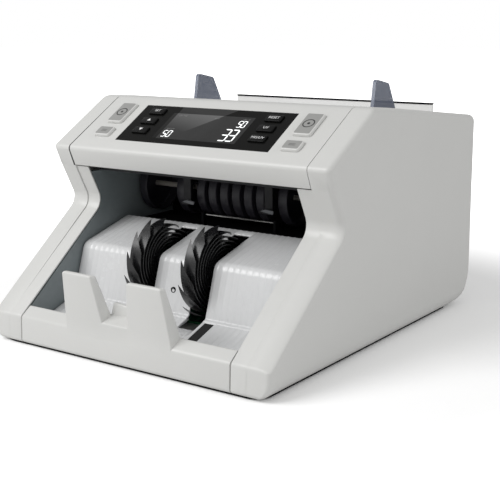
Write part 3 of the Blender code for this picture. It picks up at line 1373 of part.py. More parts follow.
def rear_fittings():
    """The mains inlet and the rocker switch, both let into the rear cover."""
    face = BODY_DEPTH - REAR_RECESS
    half = INLET_WIDTH / 2
    z_range = (INLET_Z - INLET_HEIGHT / 2, INLET_Z + INLET_HEIGHT / 2)
    inlet = block("inlet_socket", (INLET_X - half, INLET_X + half), (face - INLET_DEPTH, face), z_range, BLACK_PLASTIC)
    half = SOCKET_WIDTH / 2
    low, high = INLET_Z - SOCKET_HEIGHT / 2, INLET_Z + SOCKET_HEIGHT / 2
    corner = SOCKET_HEIGHT / 4
    corners = [
        (INLET_X - half, low),
        (INLET_X + half, low),
        (INLET_X + half, high - corner),
        (INLET_X + half - corner, high),
        (INLET_X - half + corner, high),
        (INLET_X - half, high - corner),
    ]
    cut(inlet, prism("socket_cut", corners, face - SOCKET_DEPTH, face + CUT_OVERRUN, None, "Y"))
    half = SWITCH_HEIGHT / 2
    corners = [
        (-SWITCH_DEPTH / 2, -half),
        (SWITCH_DEPTH / 2 - SWITCH_BULGE, -half),
        (SWITCH_DEPTH / 2 - SWITCH_BULGE * 2, 0),
        (SWITCH_DEPTH / 2 - SWITCH_BULGE, half),
        (-SWITCH_DEPTH / 2, half),
    ]
    place = (SWITCH_X, face - SWITCH_DEPTH / 2, INLET_Z)
    rocker = prism("power_switch", corners, -SWITCH_WIDTH / 2, SWITCH_WIDTH / 2, BLACK_PLASTIC, "X", place)
    rocker.rotation_euler = (-SWITCH_TILT, 0, 0)


def electrics():
    """The main board with its parts, and the power supply in its sheet cover."""
    low = PAN_TOP_Z + GAP
    top = low + BOARD_THICKNESS
    half = MAIN_BOARD_HALF
    board = block("main_board", (-half, half), (BOARD_FRONT_Y, BOARD_REAR_Y), (low, top), BOARD_GREEN)
    span = BOARD_REAR_Y - BOARD_FRONT_Y
    part_shares = ((-0.6, 0.3, 0.22, 0.3), (-0.1, 0.5, 0.16, 0.22), (0.4, 0.3, 0.2, 0.18), (0.75, 0.7, 0.1, 0.3))
    for index, (x_share, y_share, width_share, depth_share) in enumerate(part_shares):
        x = x_share * half
        y = BOARD_FRONT_Y + y_share * span
        x_range = (x - width_share * half / 2, x + width_share * half / 2)
        y_range = (y - depth_share * span / 2, y + depth_share * span / 2)
        z_range = (top - BOARD_THICKNESS / 2, top + CHIP_HEIGHT)
        join(board, block("board_part_" + str(index), x_range, y_range, z_range, None))
    y_range = (SUPPLY_FRONT_Y, SUPPLY_REAR_Y)
    supply = block("power_supply", (SUPPLY_LEFT, SUPPLY_RIGHT), y_range, (low, SUPPLY_TOP_Z), ZINC_SHEET)
    hollow_x = (SUPPLY_LEFT + PLATE, SUPPLY_RIGHT - PLATE)
    hollow_y = (SUPPLY_FRONT_Y - CUT_OVERRUN, SUPPLY_REAR_Y + CUT_OVERRUN)
    hollow_z = ((low + SUPPLY_TOP_Z) / 2, SUPPLY_TOP_Z - PLATE)
    cut(supply, block("supply_hollow", hollow_x, hollow_y, hollow_z, None))


def base():
    """The base pan with cooling slots and the four rubber feet pushed into it."""
    corners = [
        (PAN_FRONT_Y, UNDERSIDE_Z),
        (PAN_REAR_Y, UNDERSIDE_Z),
        (PAN_REAR_Y, PAN_TOP_Z),
        (PAN_FRONT_Y, PAN_TOP_Z),
    ]
    pan = prism("base_pan", corners, -BETWEEN_PANELS, BETWEEN_PANELS, SHELL_WHITE)
    z_range = (UNDERSIDE_Z - CUT_OVERRUN, PAN_TOP_Z + CUT_OVERRUN)
    for index in range(PAN_SLOT_COUNT):
        y = PAN_SLOT_FRONT_Y + index * PAN_SLOT_PITCH
        x_range = (-PAN_SLOT_LENGTH / 2, PAN_SLOT_LENGTH / 2)
        cut(pan, block("pan_slot_" + str(index), x_range, (y, y + PAN_SLOT_WIDTH), z_range, None))
    top = UNDERSIDE_Z - GAP
    profile = [
        (0, 0),
        (0, RUBBER_FOOT_RADIUS * 0.85),
        (top * 0.3, RUBBER_FOOT_RADIUS),
        (top, RUBBER_FOOT_RADIUS),
        (top, FOOT_STEM_RADIUS),
        (top + FOOT_STEM_RISE, FOOT_STEM_RADIUS),
        (top + FOOT_STEM_RISE, 0),
    ]
    for side, hand in ((-1, "left"), (1, "right")):
        for end, y in (("front", FOOT_FRONT_Y), ("rear", FOOT_REAR_Y)):
            name = end + "_" + hand + "_foot"
            place = (side * FOOT_X, y, 0)
            hole = prism(name + "_hole", circle(FOOT_STEM_RADIUS + GAP, 16), z_range[0], z_range[1], None, "Z", place)
            cut(pan, hole)
            turned(name, profile, RUBBER_BLACK, place, 16, False, "Z")


def build():
    """Make every piece."""
    global origin
    clear_scene()
    origin = bpy.data.objects.new("counter", None)
    bpy.context.collection.objects.link(origin)
    origin.location = (0, -ORIGIN_BACK, 0)
    base()
    for side, hand in ((-1, "left"), (1, "right")):
        side_panel(hand + "_side_panel", side)
        inner_wall(hand + "_inner_wall", side)
        chassis_plate(hand + "_chassis_plate", side)
    hood()
    control_panel()
    front_cover()
    stacker_deck()
    pocket_floor()
    stacker()
    transport_drum()
    note_guides()
    top_frame()
    hopper()
    guide_drive()
    feed_roller()
    drive()
    rear_cover()
    rear_fittings()
    electrics()


build()
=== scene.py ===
"""The looks of a desk banknote counter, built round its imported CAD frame.

Sizes are metres and colours linear red, green and blue. Pieces are worked out with y measured from
the front face of the foot; finished points are moved back to the frame, whose origin is the middle
of the footprint.
"""

import math

import bmesh
import bpy
import numpy as np
from mathutils import Matrix, Vector


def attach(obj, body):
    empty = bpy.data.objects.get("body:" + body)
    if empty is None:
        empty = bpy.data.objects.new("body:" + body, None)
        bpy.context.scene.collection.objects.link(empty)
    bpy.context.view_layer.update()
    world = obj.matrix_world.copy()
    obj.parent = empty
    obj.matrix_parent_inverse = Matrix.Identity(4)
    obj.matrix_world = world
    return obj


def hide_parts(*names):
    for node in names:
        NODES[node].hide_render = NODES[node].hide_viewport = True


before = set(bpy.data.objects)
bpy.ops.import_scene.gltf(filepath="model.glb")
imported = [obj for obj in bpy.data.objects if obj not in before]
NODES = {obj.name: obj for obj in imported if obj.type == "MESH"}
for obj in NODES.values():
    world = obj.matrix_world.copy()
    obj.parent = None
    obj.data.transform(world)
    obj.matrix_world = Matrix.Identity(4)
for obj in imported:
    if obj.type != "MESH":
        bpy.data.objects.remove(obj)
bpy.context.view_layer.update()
FOOT_TO_MIDDLE = 0.1453565
AWAY = np.array((0.0, -FOOT_TO_MIDDLE, 0.0))
HANDS = (("left", -1), ("right", 1))

# The frame's driving sizes. The outline is the body's side view, (y, z), from the foot along the
# underside, up the rear and forwards over the top; side i goes from corner i to the next.
GAP = 0.0003
UNDERSIDE_Z, FOOT_LEAN, FOOT_TOP_Z = 0.0015, 0.001, 0.0215
OUTLINE = np.array([
    (0, UNDERSIDE_Z), (0.295, UNDERSIDE_Z), (0.295, 0.1548), (0.158, 0.1702), (0.1279, 0.1724),
    (0.0685, 0.1374), (0.0747, 0.1226), (0.0893, 0.0932), (FOOT_LEAN, FOOT_TOP_Z),
])
OUTLINE_RADII = np.array([0.003, 0.028, 0.006, 0, 0.012, 0.0035, 0.002, 0.010, 0.0035])
BROW_AT, NOSE_AT, LIP_AT, WAIST_AT, FOOT_AT = range(4, 9)
NOSE = OUTLINE[NOSE_AT]
SLOPE = math.atan2(*(OUTLINE[BROW_AT] - NOSE)[::-1])
OPENING_HALF, SEAM_HALF, BODY_HALF = 0.0948, 0.1074, 0.125
STACKER, DRUM, FEED = (0.0795, 0.0525), (0.150, 0.1005), (0.184, 0.1217)
SHAFT_BORE = 0.0024


# ---------------------------------------------------------------- points

def unit(vectors):
    """Vectors divided by their lengths."""
    return vectors / np.maximum(np.linalg.norm(vectors, axis=-1, keepdims=True), 1e-12)


def circle(steps):
    """Points (cos t, sin t) once round."""
    turn = np.linspace(0, math.tau, steps, endpoint=False)
    return np.stack([np.cos(turn), np.sin(turn)], -1)


def corner_sides(corners, distance):
    """For each corner: the directions of the sides before and after it, the sine of the turn
    between them, and the distances that belong to the two sides."""
    ahead = unit(np.roll(corners, -1, 0) - corners)
    back = np.roll(ahead, 1, 0)
    out = np.broadcast_to(np.asarray(distance, float), len(corners))
    return back, ahead, back[:, 0] * ahead[:, 1] - back[:, 1] * ahead[:, 0], np.roll(out, 1), out


def inset(corners, distance):
    """Corners moved so that side i lies distance[i] further in: the point goes along one side by
    the other side's distance over the sine between the sides."""
    back, ahead, sine, before, after = corner_sides(corners, distance)
    return corners + (before[:, None] * ahead - after[:, None] * back) / sine[:, None]


def inset_radii(corners, radii, distance):
    """Corner radii that go with an inset: smaller by the distance where the corner bulges, down to
    an eighth, else larger."""
    _, _, sine, before, after = corner_sides(corners, distance)
    moved = (before + after) / 2
    fitted = np.where(sine > 0, np.maximum(radii - moved, radii / 8), radii + moved)
    return np.where(radii > 0, fitted, 0)


def rounded(corners, radii, steps):
    """Each corner as an arc: its centre lies on the bisector at radius over the sine of the half
    angle, and the arc's points are the spherical blend of its two tangent points."""
    corners = np.asarray(corners, float)
    radii = np.broadcast_to(np.asarray(radii, float), len(corners))
    back = unit(np.roll(corners, 1, 0) - corners)
    ahead = unit(np.roll(corners, -1, 0) - corners)
    half = np.arccos(np.clip((back * ahead).sum(1), -1, 1)) / 2
    centre = corners + unit(back + ahead) * (radii / np.sin(half))[:, None]
    reach = (radii / np.tan(half))[:, None]
    start, end = corners + back * reach - centre, corners + ahead * reach - centre
    turn = (math.pi - 2 * half)[:, None, None]
    share = np.linspace(0, 1, steps + 1)[None, :, None]
    blend = start[:, None] * np.sin((1 - share) * turn) + end[:, None] * np.sin(share * turn)
    return (centre[:, None] + blend / np.sin(turn)).reshape(-1, 2)


def axis_points(axis, flat, along):
    """Points from a flat outline (..., 2) and a place along an axis. X: (y, z) seen from the side;
    Y: (x, z); Z: (x, y); slope: (u, v) in the hood's slope, v up from the nose, and a height."""
    first, second, along = np.broadcast_arrays(flat[..., 0], flat[..., 1], along)
    if axis == "slope":
        y = NOSE[0] + second * math.cos(SLOPE) - along * math.sin(SLOPE)
        z = NOSE[1] + second * math.sin(SLOPE) + along * math.cos(SLOPE)
        return np.stack([first, y, z], -1)
    order = {"X": (along, first, second), "Y": (first, along, second), "Z": (first, second, along)}
    return np.stack(order[axis], -1)


def at_height(first, second, height):
    """The point at a height on the line through two points of a side view."""
    return first + (second - first) * (height - first[1]) / (second[1] - first[1])


def box_corners(width, height, middle=(0, 0)):
    """The corners of a rectangle about a middle, anticlockwise."""
    half = np.array((width, height)) / 2
    return np.asarray(middle) + half * np.array([(-1, -1), (1, -1), (1, 1), (-1, 1)])


# ---------------------------------------------------------------- meshes

WELD, CAD_WELD = 2e-6, 1e-6
SHARP = 32.0
FLAT = math.radians(0.6)
END_STEPS = 3


def add(name, mesh, look, body="housing", node=None, sharp=SHARP):
    """Put a finished mesh in the scene, on its body, with its material."""
    mesh.shade_smooth()
    mesh.set_sharp_from_angle(angle=math.radians(sharp))
    piece = bpy.data.objects.new(name, mesh)
    bpy.context.collection.objects.link(piece)
    mesh.materials.clear()
    mesh.materials.append(look[0])
    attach(piece, body)
    if node:
        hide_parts(node)
    return piece


def grid_mesh(name, points, loop_rows=False, loop_columns=False, caps=False, keep=None, flip=True):
    """A quad mesh over grids of points (patches, rows, columns, 3): quad (i, j) joins the points
    (i, j), (i, j+1), (i+1, j+1), (i+1, j). Caps close the first and last rows with flat faces.
    Doubles are merged, faces without area dropped and, if flip is set, faces turned outwards."""
    points = np.asarray(points, float)
    points = points[None] if points.ndim == 3 else points
    index = np.arange(points[..., 0].size).reshape(points.shape[:3])
    ends = index[:, 0], index[:, -1]
    index = np.concatenate([index, index[:, :1]], 1) if loop_rows else index
    index = np.concatenate([index, index[:, :, :1]], 2) if loop_columns else index
    corners = index[:, :-1, :-1], index[:, :-1, 1:], index[:, 1:, 1:], index[:, 1:, :-1]
    quads = np.stack(corners, -1)
    quads = quads if keep is None else quads[np.broadcast_to(keep, quads.shape[:3])]
    faces = quads.reshape(-1, 4).tolist() + (np.concatenate(ends).tolist() if caps else [])
    mesh = bpy.data.meshes.new(name)
    mesh.from_pydata((points.reshape(-1, 3) + AWAY).tolist(), [], faces)
    mesh.update()
    work = bmesh.new()
    work.from_mesh(mesh)
    bmesh.ops.remove_doubles(work, verts=work.verts, dist=WELD)
    bmesh.ops.dissolve_degenerate(work, dist=WELD, edges=work.edges)
    if flip:
        bmesh.ops.recalc_face_normals(work, faces=work.faces)
    work.to_mesh(mesh)
    work.free()
    return mesh


def surface(name, points, look, body="housing", node=None, sharp=SHARP, **shape):
    """A grid mesh as a finished piece."""
    return add(name, grid_mesh(name, points, **shape), look, body, node, sharp)


def bar(name, corners, radii, low, high, ease, axis, look, body="housing", node=None, steps=6):
    """A solid bar: an outline carried along an axis, its two end edges rounded. An end's rings lie
    ease times (1 - sin t) in from the outline and (1 - cos t) in from the end, t going from 0 to a
    quarter turn."""
    corners = np.asarray(corners, float)
    radii = np.broadcast_to(np.asarray(radii, float), len(corners))
    eases = np.broadcast_to(np.asarray(ease, float), 2)
    quarter = np.linspace(0, math.pi / 2, END_STEPS + 1)
    rings = []
    for end, way, size in ((low, 1, eases[0]), (high, -1, eases[1])):
        turns = quarter[::way] if size else quarter[-1:]
        for turn in turns:
            moved = size * (1 - math.sin(turn))
            flat = rounded(inset(corners, moved), inset_radii(corners, radii, moved), steps)
            rings.append(axis_points(axis, flat, end + way * size * (1 - math.cos(turn))))
    surface(name, np.stack(rings), look, body, node, loop_columns=True, caps=True)


def spun(name, profile, centre, look, body="housing", node=None, steps=64, closed=True):
    """A profile of (place along X, radius) turned about X: y is radius times cos t, z times sin t.
    A closed profile makes a ring, an open one starts and ends on the axis."""
    profile = np.asarray(profile, float)
    flat = np.array(centre) + profile[:, 1:, None] * circle(steps)
    points = axis_points("X", flat, profile[:, :1])
    surface(name, points, look, body, node, loop_rows=closed, loop_columns=True)


def eased(node, look, width, angle, body="housing"):
    """A CAD piece's own shape with its flat faces made whole and its edges softly broken."""
    mesh = NODES[node].data.copy()
    work = bmesh.new()
    work.from_mesh(mesh)
    bmesh.ops.remove_doubles(work, verts=work.verts, dist=CAD_WELD)
    bmesh.ops.dissolve_limit(work, angle_limit=FLAT, verts=work.verts, edges=work.edges)
    bmesh.ops.recalc_face_normals(work, faces=work.faces)
    work.to_mesh(mesh)
    work.free()
    mesh.name = node + "_soft"
    piece = add(node + "_soft", mesh, look, body, node)
    bevel = piece.modifiers.new("edge", "BEVEL")
    bevel.width, bevel.segments, bevel.limit_method = width, 2, "ANGLE"
    bevel.angle_limit, bevel.harden_normals = math.radians(angle), True
    bevel.use_clamp_overlap = True


def dressed(node, look):
    """A CAD piece shown as it is, with a worked-out material."""
    piece = NODES[node]
    piece.data.materials.clear()
    piece.data.materials.append(look[0])


# ---------------------------------------------------------------- materials

class Term:
    """A shader socket that takes part in formulas."""

    def __init__(self, graph, socket):
        self.graph, self.socket = graph, socket

    def __add__(self, other):
        return self.graph.math("ADD", self, other)

    def __sub__(self, other):
        return self.graph.math("SUBTRACT", self, other)

    def __rsub__(self, other):
        return self.graph.math("SUBTRACT", other, self)

    def __mul__(self, other):
        return self.graph.math("MULTIPLY", self, other)

    def __truediv__(self, other):
        return self.graph.math("DIVIDE", self, other)

    def __rtruediv__(self, other):
        return self.graph.math("DIVIDE", other, self)

    __radd__, __rmul__ = __add__, __mul__

    def clamped(self):
        """The term held between 0 and 1."""
        return self.graph.math("ADD", self, 0.0, clamp=True)

    def above(self, edge, soft):
        """0 below an edge and 1 above it, over a soft width."""
        return ((self - edge) / soft + 0.5).clamped()


class Graph:
    """The node tree of a new material, or of a new world."""

    def __init__(self, name, kind="materials"):
        self.owner = getattr(bpy.data, kind).new(name)
        self.owner.use_nodes = True
        self.tree = self.owner.node_tree

    def fill(self, made, values):
        """Link or set a node's sockets, given by name or number."""
        for key, value in values.items():
            socket = made.inputs[int(key) if key.isdigit() else key.replace("_", " ")]
            if isinstance(value, Term):
                self.tree.links.new(value.socket, socket)
            else:
                socket.default_value = (*value, 1.0) if socket.type == "RGBA" else value

    def node(self, kind, settings=None, output=0, **inputs):
        """Any node: its settings first, then its sockets."""
        made = self.tree.nodes.new(kind)
        for key, value in (settings or {}).items():
            setattr(made, key, value)
        self.fill(made, inputs)
        return Term(self, made.outputs[output])

    def set(self, **values):
        """Values or terms of the Principled shader's own sockets."""
        self.fill(self.tree.nodes["Principled BSDF"], values)

    def math(self, operation, *values, clamp=False):
        """A Math node on terms and numbers."""
        settings = {"operation": operation, "use_clamp": clamp}
        sockets = {str(index): value for index, value in enumerate(values)}
        return self.node("ShaderNodeMath", settings, **sockets)

    def spot(self, scale=(1, 1, 1), move=(0, 0, 0)):
        """The piece's own coordinates, moved and stretched by a Mapping node."""
        here = self.node("ShaderNodeTexCoord", output=3)
        return self.node("ShaderNodeMapping", Vector=here, Location=move, Scale=scale)

    def parts(self, vector):
        """The three parts of a vector."""
        made = self.node("ShaderNodeSeparateXYZ", Vector=vector).socket.node
        return [Term(self, out) for out in made.outputs]

    def noise(self, scale, detail=2.0, rough=0.5, vector=None):
        """Noise at so many cells to the metre, about one half."""
        sockets = {"Scale": scale, "Detail": detail, "Roughness": rough}
        return self.node("ShaderNodeTexNoise", Vector=vector or self.spot(), **sockets)

    def mix(self, share, first, second):
        """A colour between two colours."""
        sockets = {"0": share, "6": first, "7": second}
        return self.node("ShaderNodeMix", {"data_type": "RGBA"}, 2, **sockets)

    def bump(self, height, distance):
        """A normal bumped by a height of 0 to 1 times a distance in metres."""
        return self.node("ShaderNodeBump", Height=height, Distance=distance, Strength=1.0)

    def by_ray(self, for_light, for_camera, end):
        """End the tree with one shader for light and another for what the camera itself sees."""
        sockets = {"0": self.node("ShaderNodeLightPath"), "1": for_light, "2": for_camera}
        self.fill(self.tree.nodes[end], {"Surface": self.node("ShaderNodeMixShader", **sockets)})


def shade(colour, factor):
    """A colour made lighter or darker."""
    return tuple(part * factor for part in colour)


def moulded(name, slot, colour, rough, grain=9000.0, depth=2e-5, tint=0.05, coat=0.0, specular=0.5):
    """Moulded plastic: a cloudy colour, a patchy sheen and a fine spark-eroded grain. The colour's
    noise, seven parts coarse and three fine, is stretched: 0.3 to 0.7 of it fill the tint."""
    graph = Graph(name)
    cloud, fine = graph.noise(22.0, 4.0), graph.noise(260.0, 3.0)
    share = (cloud * 0.7 + fine * 0.3 - 0.3) * 2.5
    graph.set(Base_Color=graph.mix(share, shade(colour, 1 - tint), shade(colour, 1 + tint)))
    graph.set(Roughness=(cloud - 0.5) * 0.22 + (fine - 0.5) * 0.12 + rough)
    graph.set(Normal=graph.bump(graph.noise(grain, 2.0, 0.6), depth))
    graph.set(Coat_Weight=coat, Coat_Roughness=0.15, Specular_IOR_Level=specular)
    return graph.owner, slot


def metal(name, slot, colour, rough, stretch=(1, 30, 30)):
    """Brushed or rolled metal: long streaks in its sheen and a little clouding."""
    graph = Graph(name)
    streak = graph.noise(400.0, 3.0, 0.6, graph.spot(scale=stretch))
    cloud = graph.noise(60.0, 3.0)
    graph.set(Base_Color=graph.mix(cloud, shade(colour, 0.85), shade(colour, 1.05)))
    graph.set(Roughness=(streak - 0.5) * 0.3 + (cloud - 0.5) * 0.15 + rough, Metallic=1.0)
    graph.set(Normal=graph.bump(streak, 0.00001))
    return graph.owner, slot


def smoked(name, slot):
    """Smoky see-through plastic: bluish, darker where it is seen edge on, with moulding clouds."""
    face, edge, milky = (0.155, 0.185, 0.265), (0.075, 0.085, 0.12), (0.22, 0.25, 0.34)
    graph = Graph(name)
    rim = graph.node("ShaderNodeLayerWeight", output=1, Blend=0.35)
    cloud = graph.noise(45.0, 3.0)
    graph.set(Base_Color=graph.mix((cloud - 0.35) * 0.5, graph.mix(rim, face, edge), milky))
    graph.set(Roughness=(cloud - 0.5) * 0.15 + 0.2, Alpha=0.82)
    graph.set(Normal=graph.bump(graph.noise(3000.0), 0.000008))
    return graph.owner, slot


def circuit(name, slot):
    """A green circuit board with lighter copper tracks, 220 to the metre, under the lacquer."""
    lacquer, track = (0.015, 0.12, 0.045), (0.03, 0.22, 0.09)
    graph = Graph(name)
    here = graph.spot(scale=(220, 220, 220))
    tracks = graph.node("ShaderNodeTexBrick", output=1, Vector=here, Scale=1.0, Mortar_Size=0.12)
    cloud = graph.noise(300.0, 2.0)
    graph.set(Base_Color=graph.mix(tracks, lacquer, track))
    graph.set(Roughness=(cloud - 0.5) * 0.2 + 0.35, Normal=graph.bump(tracks, 0.00003))
    return graph.owner, slot


def glossy_panel(name, slot, colour, rough, gloss, painted_reflection, rim):
    """Smooth printed film: nearly black and very slightly clouded, in the rim's colour left of the
    display. Over it lies a painted reflection: a paler patch, standing in for a lamp mirrored in
    the film, from the display's left edge to a slanting line, fading downwards and to the left."""
    display_left, edge_soft = -0.0338, 0.0006
    line_u, line_v, line_lean, line_soft = 0.0027, 0.0437, 1.08, 0.0008
    fade_lean, fade_low, fade_height = 0.3, 0.0235, 0.025
    graph = Graph(name)
    cloud = graph.noise(90.0, 3.0)
    base = graph.mix(cloud, shade(colour, 0.8), shade(colour, 1.2))
    to_nose = (0, FOOT_TO_MIDDLE - NOSE[0], -NOSE[1])
    across, along, up = graph.parts(graph.spot(move=to_nose))
    v = along * math.cos(SLOPE) + up * math.sin(SLOPE)
    # The painted reflection's patch: right of the display's left edge, left of a slanting line,
    # fading downwards and to the left
    line = line_u - across + (v - line_v) * line_lean
    display = across.above(display_left, edge_soft)
    fade = ((v + across * fade_lean - fade_low) / fade_height).clamped()
    base = graph.mix(display, rim, base)
    base = graph.mix(line.above(0.0, line_soft) * display * fade, base, painted_reflection)
    graph.set(Base_Color=base, Roughness=(cloud - 0.5) * 0.08 + rough)
    graph.set(Normal=graph.bump(graph.noise(5000.0), 0.000004), Specular_IOR_Level=gloss)
    return graph.owner, slot


def printed(name, slot, colour, glow=0.0):
    """Printing ink, or a lit segment where it glows, with a slightly uneven density."""
    graph = Graph(name)
    cloud = graph.noise(1500.0, 2.0)
    tone = graph.mix(cloud, shade(colour, 0.86), shade(colour, 1.05))
    graph.set(Base_Color=tone, Roughness=(cloud - 0.5) * 0.1 + 0.5)
    if glow:
        graph.set(Emission_Color=tone, Emission_Strength=glow)
    return graph.owner, slot


WHITE = moulded("shell_white", "housing_white", (0.70, 0.70, 0.682), 0.36, depth=1.2e-5, tint=0.012)
# The back rest's white is the shell's plastic made paler: painted light, standing in for the
# brighter light its face catches
BACKREST_PAINTED_LIGHT = moulded(
    "backrest_painted_light", "housing_white", (0.92, 0.92, 0.91), 0.4, depth=1.2e-5, tint=0.01)
POCKET = moulded(
    "pocket_white_gloss", "pocket_white", (0.76, 0.765, 0.77), 0.22, 4000.0, 6e-6, 0.02, coat=0.25)
GREY_WALL = moulded("pocket_wall", "wall_grey", (0.21, 0.24, 0.25), 0.34, tint=0.10)
BLACK = moulded(
    "black_plastic", "black_plastic", (0.008, 0.008, 0.0095), 0.42, tint=0.2, specular=0.35)
TOE = moulded("finger_toe", "black_plastic", (0.13, 0.135, 0.145), 0.3, tint=0.1)
CHARCOAL = moulded(
    "drum_charcoal", "drum_charcoal", (0.020, 0.019, 0.025), 0.42, 3000.0, tint=0.15)
RUBBER = moulded("black_rubber", "black_rubber", (0.013, 0.013, 0.014), 0.5, 2500.0, 3e-5, 0.2)
FIN = moulded(
    "fin_rubber", "black_rubber", (0.010, 0.010, 0.011), 0.27, 2500.0, 8e-6, 0.2, specular=0.7)
FILM_BLACK = (0.0050, 0.0050, 0.0046)
# Each film's second last colour is its painted reflection, standing in for a lamp mirrored in the
# glossy film
PANEL = glossy_panel(
    "panel_film", "panel_black", FILM_BLACK, 0.24, 0.08, (0.040, 0.040, 0.040), FILM_BLACK)
SCREEN = glossy_panel(
    "screen_film", "screen", (0.037, 0.037, 0.037), 0.2, 0.12, (0.14, 0.14, 0.14), FILM_BLACK)
KEY = moulded("key_rubber", "key_black", (0.003, 0.003, 0.003), 0.26, tint=0.15, specular=0.14)
BUTTON = moulded("button_grey", "button_grey", (0.345, 0.345, 0.335), 0.34, depth=1e-5, tint=0.03)
BUTTON_MARK = printed("button_mark", "button_grey", (0.19, 0.19, 0.185))
SMOKE = smoked("smoke_plastic", "smoke_blue")
SHAFT = moulded("pale_shaft", "steel", (0.33, 0.31, 0.28), 0.35, tint=0.08)
VOID = moulded("dull_black", "black_plastic", (0.004, 0.004, 0.005), 0.8, tint=0.2, specular=0.1)
STEEL = metal("steel", "steel", (0.62, 0.62, 0.60), 0.26)
ZINC = metal("zinc_sheet", "zinc_sheet", (0.50, 0.51, 0.52), 0.42, (20, 1, 1))
BOARD = circuit("board_green", "board_green")
BELT = moulded("belt_black", "belt_black", (0.016, 0.016, 0.016), 0.65, 1500.0, 5e-5, 0.2)
INK_WHITE = printed("ink_white", "key_black", (0.95, 0.95, 0.95))
INK_GREY = printed("ink_grey", "screen", (0.20, 0.20, 0.20))
INK_DARK = printed("ink_dark", "button_grey", (0.020, 0.020, 0.020))
LIT = printed("lit_segment", "screen", (0.90, 0.92, 0.92), 0.9)


# ---------------------------------------------------------------- side shells

# By side of the outline: how far the outer edge's rounding reaches in, and how wide it is. Sides in
# nearly the same line (2 and 3, 5 and 6) need the same depth, or the inset corner runs off.
SHELL_DEPTHS = np.array([0.011, 0.005, 0.005, 0.005, 0.0032, 0.0044, 0.0044, 0.0025, 0.0035])
SHELL_WIDTHS = np.array([0, 0.005, 0.005, 0.005, 0.0036, 0.0044, 0.005, 0.012, 0.0035])
SHELL_STEPS, SHELL_RINGS, FOOT_POINTS = 8, 9, 12
UNDER_CURVE, FLAT_MARGIN = 0.011, 0.0008
STRIP_GAP = 0.00045


def shell_ring(moved, radii):
    """The outline moved in, with extra points up the front of the foot."""
    flat = rounded(inset(OUTLINE, moved), radii, SHELL_STEPS)
    return np.concatenate([flat, np.linspace(flat[-1], flat[0], FOOT_POINTS + 2)[1:-1]])


def side_panel(hand, side):
    """The outer side shell: rings of the body's outline from the seam to the outer face. Over its
    rounding a ring lies (1 - cos t) depths in and (1 - sin t) widths short of the outer face; the
    widths blend round the corners. Towards the underside the whole side curves in by
    r - sqrt(r2 - (r - h)2) at a height h above it."""
    share = np.linspace(0, 1, SHELL_STEPS + 1)
    widths = np.roll(SHELL_WIDTHS, 1)[:, None] * (1 - share) + SHELL_WIDTHS[:, None] * share
    widths = np.concatenate([widths.reshape(-1), np.full(FOOT_POINTS, SHELL_WIDTHS[-1])])
    seam = np.array([0] + [GAP] * 6 + [GAP / 3, 0])
    rings = [axis_points("X", shell_ring(seam, OUTLINE_RADII), side * SEAM_HALF),
             axis_points("X", shell_ring(0, OUTLINE_RADII), side * (SEAM_HALF + GAP))]
    turns = [(turn, 0) for turn in np.linspace(0, math.pi / 2, SHELL_RINGS)]
    for turn, margin in turns + [(math.pi / 2, FLAT_MARGIN)]:
        moved = SHELL_DEPTHS * (1 - math.cos(turn)) + margin
        flat = shell_ring(moved, inset_radii(OUTLINE, OUTLINE_RADII, moved))
        short = UNDER_CURVE - np.clip(flat[:, 1] - UNDERSIDE_Z, 0, UNDER_CURVE)
        under = UNDER_CURVE - np.sqrt(UNDER_CURVE ** 2 - short ** 2)
        place = BODY_HALF - widths * (1 - math.sin(turn)) - under
        rings.append(axis_points("X", flat, side * place))
    node = hand + "_side_panel"
    shell = surface(
        hand + "_side_shell", np.stack(rings), WHITE, node=node, loop_columns=True, caps=True).data
    corners = np.empty(len(shell.polygons), np.int32)
    shell.polygons.foreach_get("loop_total", corners)
    shell.polygons.foreach_set("use_smooth", corners <= 4)


def front_strip(hand, side):
    """The strip between the side shell and the pocket: its side view sinks from nothing at the foot
    to 1 mm at the waist, and its edge at the pocket is rounded over."""
    step, wall, foot_length, under_lip, overlap, ease = 0.001, 0.0012, 0.012, 0.0007, 0.0002, 0.0004
    waist, lip = inset(OUTLINE, step)[[WAIST_AT, LIP_AT]]
    deep = inset(OUTLINE, step + wall)
    back_waist, back_lip = deep[WAIST_AT], deep[LIP_AT]
    back_foot = inset(OUTLINE, wall)[FOOT_AT]
    top = OUTLINE[LIP_AT, 1] - under_lip
    corners = np.array([
        (0, UNDERSIDE_Z), (foot_length, UNDERSIDE_Z), (foot_length, FOOT_TOP_Z),
        at_height(back_foot, back_waist, FOOT_TOP_Z), back_waist,
        at_height(back_waist, back_lip, top), at_height(waist, lip, top), waist, OUTLINE[FOOT_AT],
    ])
    bend = OUTLINE_RADII[WAIST_AT]
    radii = np.array([
        OUTLINE_RADII[0], 0, 0, 0, bend + step + wall, 0, 0, bend + step, OUTLINE_RADII[FOOT_AT]])
    ends = (side * (OPENING_HALF + STRIP_GAP), side * (SEAM_HALF + overlap))
    eases = (ease, 0) if side > 0 else (0, ease)
    name = hand + "_front_strip"
    bar(name, corners, radii, min(ends), max(ends), eases, "X", WHITE, steps=SHELL_STEPS)


# ---------------------------------------------------------------- front cover and fence

# The prongs' edges, each at the prong's foot and top, away from the middle: inner and outer in
# front, then outer and inner behind
FENCE_EDGES = {
    "left": ((0.0122, 0.0196), (0.0492, 0.0458), (0.0490, 0.0452), (0.0096, 0.0172)),
    "right": ((0.0075, 0.0133), (0.0468, 0.0427), (0.0487, 0.0444), (0.0090, 0.0145)),
}
FENCE_LOW_Z, FENCE_FOOT_Z, FENCE_TOP_Z = 0.0165, 0.0205, 0.0630


def fence_front(z):
    """Where the fence's front lies at a height: on the cover's own front low down, then bent
    forwards by the square of the height over 13 mm, then straight at a lean of 0.134."""
    start_y, rake, bend, lean = 0.00077, 0.05, 0.013, 0.134
    rise, past = np.clip(z - FENCE_LOW_Z, 0, bend), np.maximum(z - FENCE_LOW_Z - bend, 0)
    return start_y + rake * rise - (rake + lean) / (2 * bend) * rise ** 2 - lean * past


